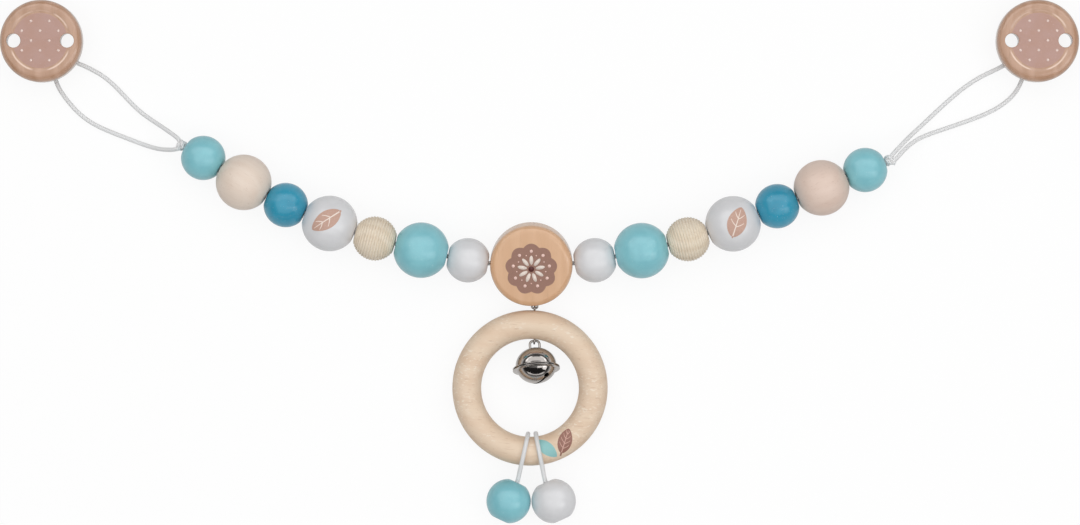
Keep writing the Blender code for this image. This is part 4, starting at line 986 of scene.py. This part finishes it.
def makePellet(look):
    ball, radius = bmesh.new(), look["pellet"]
    around, levels = look["pelletSides"]
    bmesh.ops.create_uvsphere(ball, u_segments=around, v_segments=levels, radius=radius)
    for vert in ball.verts:  # a stamped ball is a little out of round
        wave = abs(math.sin(look["pelletWaves"] * vert.co.x / radius))
        vert.co *= 1 - look["pelletDents"] * wave
    asPiece("bellPellet", toMesh(ball), Matrix.Translation(boxMiddle("bell_pellet")), "wire",
            "bell_pellet", ["bell_pellet"])


def makeBell(look):
    place = bellFrame @ Matrix.Translation((0, 0, -look["neck"] - look["half"]))
    shells = []
    for level, sign, tools in (("upper", 1, bailHoles(look)), ("lower", -1, slitAndHoles(look))):
        mesh = carved(toMesh(lathe(shellOutline(look, sign), look["sides"])), tools)
        shells.append(asPiece("bell" + level.title() + "Shell", mesh, place, "nickel", "bell",
                              ["bell_" + level + "_shell"], sharpAngle))
    leg, foot = (look["bail"] - look["wire"]) / 2, -look["neck"] - look["bailInside"]
    line = [(x, 0, z) for x, z in hoopLine(leg, foot, 0, look["bailCorner"])]
    asPiece("bellBail", wireMesh(line, look["wire"]), bellFrame, "wire", "bell", ["bell_bail"])
    makePellet(look)
    return shells


# clips

clipLook = {
    "radius": 0.0185, "thick": 0.009, "edge": 0.0036, "edgeSteps": 20, "lowerEdge": 0.0012,
    "crest": 106, "recessDepth": 0.0005, "recessSlope": 0.0011, "recessRound": 0.00022,
    "print": 0.0124, "paintedFacing": 0.9, "stepShares": (0.25, 0.55, 0.8), "sides": 144,
    "grain": {"left": (0.3, 0.1, 0), "right": (0.6, 0.1, 0)},
    # painted highlights: pale arcs on the recess step where the lights would glint
    "rubbedArcs": [(44, 21, 1.0), (227, 30, 1.0), (312, 30, 0.95), (121, 20, 0.45),
                   (84, 18, 0.25)],  # middle and half angle in degrees, strength
    "rubbedFade": 9, "rubbedWidth": 0.42, "rubbedCrest": 1.6,
    "vent": 0.00315, "ventBack": 0.0036, "ventReach": 0.012, "ventEdge": 0.0002, "ventSides": 56,
    "dotRows": [(8.8, (-4.1, 4.1)), (4.4, (-8.2, 0, 8.2)), (0, (-4.1, 4.1)),
                (-4.4, (-8.2, 0, 8.2)), (-8.8, (-4.1, 4.1))],  # in millimetres
    "dot": {"long": 0.0006, "wide": 0.0006, "thick": 0.00008},
}
fittingLook = {"merged": 1e-6, "bevel": 0.00012, "segments": 2, "flatAngle": 4.0,
               "bevelAngle": 35, "sharp": 38}
dotLook = {"radial": 0.0, "sides": 28}
fittings = {  # a node's ending: finish, slot
    "clip_plate": ("sheetSteel", "steel"),
    "clip_rivet": ("wire", "steel"),
    "hinge_pin": ("wire", "steel"),
    "jaw_pad": ("padPlastic", "pad_plastic"),
    "clip_lever": ("sheetSteel", "steel"),
}


def printDots(name, places, look, ink, place, body):
    mesh = grownMesh(dotTree, pointMesh(places), {**dotLook, **look}, ink)
    asPiece(name, mesh, place, ink, body, ())


def paintHighlightArcs(mesh, look, middleOfStep):  # painted highlight: how strongly each point takes the pale arcs on the recess step
    rubbed = mesh.attributes.new("rubbed", "FLOAT", "POINT")
    for vert, value in zip(mesh.vertices, rubbed.data):
        out, turn = math.hypot(vert.co.x, vert.co.y), math.degrees(math.atan2(vert.co.y, vert.co.x))
        width = look["recessSlope"] * look["rubbedWidth"]
        across = max(0.0, 1 - abs(out - middleOfStep) / width) * look["rubbedCrest"]
        for middle, half, level in look["rubbedArcs"]:
            off = abs((turn - middle + 180) % 360 - 180)
            fade = min(max((half - off) / look["rubbedFade"], 0.0), 1.0)
            value.value = max(value.value, level * fade * min(across, 1.0))


def ventTools(look, sunk):  # waisted holes, wider at the back
    top, front, back, edge = look["thick"], look["vent"], look["ventBack"], look["ventEdge"]
    outline = [(0, top * 2), (front + edge, top * 2), (front + edge, top), (front + edge, sunk),
               (front, sunk - edge), (back, edge), (back + edge, 0), (back + edge, -top), (0, -top)]
    return [(lathe(outline, look["ventSides"]), Matrix.Translation((x, 0, 0)))
            for x in (-look["ventReach"], look["ventReach"])]


def makeClipDisc(side, look):
    middle, low = boxMiddle(side + "_clip_disc"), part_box(side + "_clip_disc")[0][2]
    radius, thick, edge, lower = look["radius"], look["thick"], look["edge"], look["lowerEdge"]
    sunk = thick - look["recessDepth"]
    crest = arcPoints((radius - edge, thick - edge), edge, math.radians(look["crest"]), 0,
                      look["edgeSteps"])
    slope = softened([(look["print"], sunk, 0), (crest[0][0] - look["recessSlope"], sunk,
                                                 look["recessRound"]), (*crest[0], 0)])
    step = [Vector(slope[-2]).lerp(Vector(crest[0]), share) for share in look["stepShares"]]
    outline = [(0, sunk), *slope[:-1], *[tuple(p) for p in step], *crest,
               *arcPoints((radius - lower, lower), lower, 0, -math.pi / 2, bendSteps), (0, 0)]
    mesh = toMesh(lathe(outline, look["sides"]), look["grain"][side])
    mesh = carved(mesh, ventTools(look, sunk))
    paintHighlightArcs(mesh, look, (step[0].x + step[-1].x) / 2)
    place, body = Matrix.Translation((middle.x, middle.y, low)), side + "_clip"
    piece = asPiece(side + "ClipDisc", mesh, place, ("clipRim", "clipPink"), body, [body + "_disc"],
                    sharpAngle)
    for face in piece.data.polygons:
        out = (face.center - middle).xy.length
        onTop = face.normal.z > look["paintedFacing"] and face.center.z > low + thick / 2
        face.material_index = 1 if onTop and out < look["print"] else 0
    dots = [(x / 1000, y / 1000, sunk) for y, row in look["dotRows"] for x in row]
    printDots(side + "ClipDots", dots, look["dot"], "dotInk", place, body)


def bevelledCopy(node, name, material, body, look=fittingLook):
    source = frame["nodes"][node]
    shape = bmesh.new()
    shape.from_mesh(source.data)
    shape.transform(source.matrix_world)
    bmesh.ops.remove_doubles(shape, verts=shape.verts, dist=look["merged"])
    bmesh.ops.dissolve_limit(shape, angle_limit=math.radians(look["flatAngle"]), verts=shape.verts,
                             edges=shape.edges)
    holder = linked("holder", toMesh(shape))
    edge = holder.modifiers.new("edge", "BEVEL")
    edge.width, edge.segments, edge.limit_method = look["bevel"], look["segments"], "ANGLE"
    edge.angle_limit = math.radians(look["bevelAngle"])
    edge.use_clamp_overlap = True
    asPiece(name, settled(holder), asBuilt, material, body, [node], look["sharp"])


def makeClips():
    for side in ("left", "right"):
        makeClipDisc(side, clipLook)
        for ending, (finish, slot) in fittings.items():
            body = side + ("_clip_lever" if ending == "clip_lever" else "_clip")
            bevelledCopy(side + "_" + ending, side + ending.title().replace("_", ""), finish, body)


# prints: thin inks laid on the wood

leafShape = {  # places along the leaf and a vein's width are shares of the leaf's length
    "rows": 30, "columns": 8, "fullness": 0.66, "skew": 0.92,
    "stemFrom": -0.485, "stemWidths": (0.0006, 0.0008), "midrib": (-0.46, 0.42),
    "veinWidth": 1 / 24, "veinTip": 0.4, "sideWidth": 0.75, "sideRun": 0.18, "sideLast": 0.93,
    "sideReach": 0.72, "stagger": 0.03, "sideBend": 0.0002, "ribSteps": 24,
}
leafLooks = {
    "leftBeadLeaf": {"on": "left_leaf_bead", "offset": (-0.0009, 0.0013), "size": (0.0152, 0.0080),
                     "tip": 213, "stem": 0.0006, "inks": ("roseInk", "creamInk"),
                     "veins": (0.34, 0.60)},
    "rightBeadLeaf": {"on": "right_leaf_bead", "offset": (0.0012, 0.0006),
                      "size": (0.0140, 0.0086), "tip": 73, "stem": 0.0006,
                      "inks": ("roseInk", "creamInk"), "veins": (0.34, 0.60)},
    "ringTealLeaf": {"on": "ring", "offset": (0.0092, -0.0268), "size": (0.0114, 0.0056),
                     "tip": -35, "stem": 0.0015, "inks": ("tealInk",), "veins": ()},
    "ringBrownLeaf": {"on": "ring", "offset": (0.0171, -0.0229), "size": (0.0116, 0.0063),
                      "tip": 76, "stem": 0.0015, "inks": ("umberInk", "veinInk"),
                      "veins": (0.20, 0.39, 0.57, 0.76)},
}
inkLevels = ((-0.00004, 0.00003), (-0.00002, 0.00005))  # of a print and of its veins


def leafHalf(share, width):
    return width / 2 * math.sin(math.pi * share ** leafShape["skew"]) ** leafShape["fullness"]


def addRib(flat, start, end, wide, thin, bend=0.0):
    start, end, steps, edges = Vector(start), Vector(end), leafShape["ribSteps"], []
    across = (end - start).normalized().orthogonal()
    for t in (k / steps for k in range(steps + 1)):
        p = start.lerp(end, t) + across * bend * math.sin(math.pi * t)
        half = across * (wide + (thin - wide) * t) / 2
        edges.append((flat.verts.new((*(p + half), 0)), flat.verts.new((*(p - half), 0))))
    for (a, b), (c, d) in zip(edges, edges[1:]):
        flat.faces.new((a, b, d, c))


def leafPatches(length, width, stem, veins, look=leafShape):
    blade, ribs = bmesh.new(), bmesh.new()
    rows, last, columns = [], look["rows"], look["columns"]
    for i in range(last + 1):
        half = leafHalf(i / last, width) if 0 < i < last else 0
        rows.append([blade.verts.new(((i / last - 0.5) * length, half * (2 * k / columns - 1), 0))
                     for k in range(columns + 1)])
    for a, b in zip(rows, rows[1:]):
        for k in range(columns):
            blade.faces.new((a[k], b[k], b[k + 1], a[k + 1]))
    bmesh.ops.remove_doubles(blade, verts=blade.verts, dist=sameSpot)
    foot = look["stemFrom"] * length
    addRib(blade, (foot - stem, 0), (foot, 0), *look["stemWidths"])
    thick = length * look["veinWidth"]
    thin = thick * look["veinTip"]
    addRib(ribs, *[(share * length, 0) for share in look["midrib"]], thick, thin)
    for t in veins:
        for sign in (-1, 1):
            near = t + (look["stagger"] if sign > 0 else 0)
            far = min(near + look["sideRun"], look["sideLast"])
            tip = (far - 0.5) * length, sign * leafHalf(far, width) * look["sideReach"]
            addRib(ribs, ((near - 0.5) * length, 0), tip, thick * look["sideWidth"], thin,
                   sign * look["sideBend"])
    return blade, ribs


def laidOn(flat, surface, low, high):  # a closed thin slab of a flat patch, laid on a surface
    bmesh.ops.recalc_face_normals(flat, faces=flat.faces)
    shape = bmesh.new()
    top, base = [{v: shape.verts.new(surface(v.co.x, v.co.y, lift)) for v in flat.verts}
                 for lift in (high, low)]
    for face in flat.faces:
        shape.faces.new([top[v] for v in face.verts])
        shape.faces.new([base[v] for v in reversed(face.verts)])
    for edge in flat.edges:
        if edge.is_boundary:
            a, b = edge.verts
            shape.faces.new((top[a], top[b], base[b], base[a]))
    return toMesh(shape)


def makeLeaf(name, look):
    turn, shift = Matrix.Rotation(math.radians(look["tip"]), 2), Vector(look["offset"])
    reach, tube, radius = ringLook["reach"], ringLook["tube"], beadLook["big"]["radius"]

    def onRing(x, y, lift):
        flat = turn @ Vector((x, y)) + shift
        across = (flat.length - reach) / tube
        normal = Vector((*(flat.normalized() * across), math.sqrt(1 - across * across)))
        return ringFrame @ (Vector((*(flat.normalized() * reach), 0)) + normal * (tube + lift))

    def onBead(x, y, lift):
        flat = turn @ Vector((x, y)) + shift
        normal = Vector((*flat, math.sqrt(radius ** 2 - flat.length_squared))).normalized()
        return jointPoint(look["on"] + "_spin") + normal * (radius + lift)

    surface, slot = (onRing, "ring_wood") if look["on"] == "ring" else (onBead, "white")
    patches = leafPatches(*look["size"], look["stem"], look["veins"])
    for part, patch, ink, levels in zip(("", "Veins"), patches, look["inks"], inkLevels):
        asPiece(name + part, laidOn(patch, surface, *levels), asBuilt, ink, look["on"], (),
                sharpAngle)
    for patch in patches:
        patch.free()


rosetteLook = {
    "low": 0.0009, "radius": 0.0103, "scallop": 0.0014, "lobes": 9, "lobeSteps": 16,
    "prints": {  # count, reach, turn as a share of the gap, ink, sizes
        "rosettePetals": (9, 0.0041, 0.0, "creamInk",
                          {"long": 0.0021, "wide": 0.00085, "thick": 0.00008, "radial": 1.0}),
        "rosetteDots": (9, 0.0082, 0.0, "pinkInk",
                        {"long": 0.00072, "wide": 0.00072, "thick": 0.00008}),
        "rosetteSpecks": (9, 0.0066, 0.5, "pinkInk",
                          {"long": 0.0003, "wide": 0.0003, "thick": 0.00008}),
        "rosetteHeart": (1, 0.0, 0.0, "darkInk", {"long": 0.0013, "wide": 0.0013, "thick": 0.0001}),
    },
}


def makeRosette(look):  # a plain blossom on the disc's face
    face, lobes, steps = discLook["thick"] / 2, look["lobes"], look["lobes"] * look["lobeSteps"]
    blossom = bmesh.new()
    hub = blossom.verts.new((0, 0, 0))
    inner, outer = [], []
    for k in range(steps):
        turn = 2 * math.pi * k / steps
        edge = look["radius"] + look["scallop"] * abs(math.cos(lobes * (turn - math.pi / 2) / 2))
        for ring, out in ((inner, edge / 2), (outer, edge)):
            ring.append(blossom.verts.new((out * math.cos(turn), out * math.sin(turn), 0)))
    for k in range(steps):
        n = (k + 1) % steps
        blossom.faces.new((hub, inner[k], inner[n]))
        blossom.faces.new((inner[k], outer[k], outer[n], inner[n]))
    place = discFrame @ Matrix.Translation((0, -look["low"], 0))
    mesh = laidOn(blossom, lambda x, y, lift: Vector((x, y, face + lift)), *inkLevels[0])
    blossom.free()
    asPiece("rosette", mesh, place, "brownInk", "centre_disc", (), sharpAngle)
    for name, (count, reach, between, ink, sizes) in look["prints"].items():
        start = math.pi / 2 + between * 2 * math.pi / count
        places = [(x, y, face) for x, y in circlePoints(reach, count, start)]
        printDots(name, places, sizes, ink, place, "centre_disc")


# floor, and the sky with what polished pieces mirror

roomLook = {
    "floorSize": 6.0,
    "floorGap": 0.0002,
    "floorShown": 0.99,
    "floorBounce": 0.60,  # what the floor gives back to the pieces
    "floorInPolish": 0.55,  # share of plain white in what a polished piece mirrors
    "shadowKept": 0.12,  # share of the lit floor in what the camera sees
    "skyLow": 0.24,
    "skyHigh": 0.40,
}
polishLook = {  # patches lie in the slopes x / z and y / z of a direction, edges in its height
    "lowest": 0.02,  # height from which slopes are reckoned
    "around": 0.10,
    "low": 0.5,  # near the horizon
    "lowEdges": (0.18, 0.05),
    "corners": 2.4,  # four low bright corners
    "cornerEdges": (0.5, 0.95),  # of the sine of twice the angle round z
    "cornerBand": (0.56, 0.21, 0.06),
    "straightUp": 0.001,
    "patches": [  # strength, middle, half size, softness
        (0.34, (0.0, 0.0), (1.3, 0.45), 0.15),
        (1.15, (0.0, 1.15), (1.5, 0.60), 0.12),  # the upper part of the soft light
        (0.02, (-0.1, -1.15), (3.4, 0.80), 0.12),  # a dark screen below it
        (0.9, (0.0, -2.7), (2.2, 0.55), 0.15),
        (1.6, (1.3, -0.30), (1.15, 0.11), 0.06),  # a slim light on the right
    ],
}


def emptyTree(owner):  # the nodes of a material or world, cleared, and what a ray of light is
    owner.use_nodes = True
    owner.node_tree.nodes.clear()
    grow = grower(owner.node_tree)
    camera, through, glossy = grow("ShaderNodeLightPath", take=(
        "Is Camera Ray", "Is Transmission Ray", "Is Glossy Ray"))
    return grow, camera.calc("MAXIMUM", through), glossy


def makeRoom(look):
    side, low = look["floorSize"] / 2, -look["floorGap"]
    mesh = bpy.data.meshes.new("floor")
    mesh.from_pydata([(-side, -side, low), (side, -side, low), (side, side, low), (-side, side, low)],
                     [], [(0, 1, 2, 3)])
    linked("floor", mesh)
    material = bpy.data.materials.new("paleFloor")
    grow, seen, glossy = emptyTree(material)
    white = seen.spread(look["floorBounce"], look["floorShown"])
    colour = grow("ShaderNodeCombineColor", {0: white, 1: white, 2: white})
    lit = grow("ShaderNodeBsdfDiffuse", {"Color": colour})
    glow = grow("ShaderNodeEmission", {"Color": (1, 1, 1, 1), "Strength": 1.0})
    share = (seen * (1 - look["shadowKept"])).calc("MAXIMUM", glossy * look["floorInPolish"])
    mixed = grow("ShaderNodeMixShader", {0: share, 1: lit, 2: glow})
    grow("ShaderNodeOutputMaterial", {0: mixed})
    mesh.materials.append(material)


def within(value, middle, half, soft):
    return (value - middle).calc("ABSOLUTE").ramp(half + soft, half - soft)


def makeSky(look, polish):
    sky = bpy.data.worlds.new("sky")
    bpy.context.scene.world = sky
    grow, seen, glossy = emptyTree(sky)
    way = grow("ShaderNodeTexCoord", take="Generated")
    x, y, z = grow("ShaderNodeSeparateXYZ", {0: way}, (0, 1, 2))
    high = z.calc("MAXIMUM", polish["lowest"])
    strength = z.ramp(*polish["lowEdges"]) * polish["low"] + polish["around"]
    flat = (x * x + y * y).calc("MAXIMUM", polish["straightUp"])
    corner = (x * y * 2.0 / flat).calc("ABSOLUTE").ramp(*polish["cornerEdges"])
    corner = corner * within(z, *polish["cornerBand"])
    strength = strength + corner * polish["corners"]
    for level, middle, half, soft in polish["patches"]:
        across = within(x / high, middle[0], half[0], soft)
        along = within(y / high, middle[1], half[1], soft)
        strength = (across * along).mix(strength, level)
    strength = glossy.mix(z.spread(look["skyLow"], look["skyHigh"]), strength)
    back = grow("ShaderNodeBackground", {"Color": (1, 1, 1, 1), "Strength": seen.mix(strength, 1.0)})
    grow("ShaderNodeOutputWorld", {0: back})
    bpy.context.scene.view_settings.view_transform = "Standard"


makeCamera(cameraLook)
makeRoom(roomLook)
makeSky(roomLook, polishLook)
lamps = {name: makeLamp(name, look) for name, look in lampLooks.items()}
print("camera and room made")
makeCords()
print("cords laid")
makeBeads()
print("beads strung")
makeDisc(discLook)
makeRing(ringLook)
makeEyes(eyeLook)
keepOff(lamps["overhead"], makeBell(bellLook))
print("disc, ring and bell made")
makeClips()
print("clips made")
for leafName, leaf in leafLooks.items():
    makeLeaf(leafName, leaf)
makeRosette(rosetteLook)
print("prints laid")
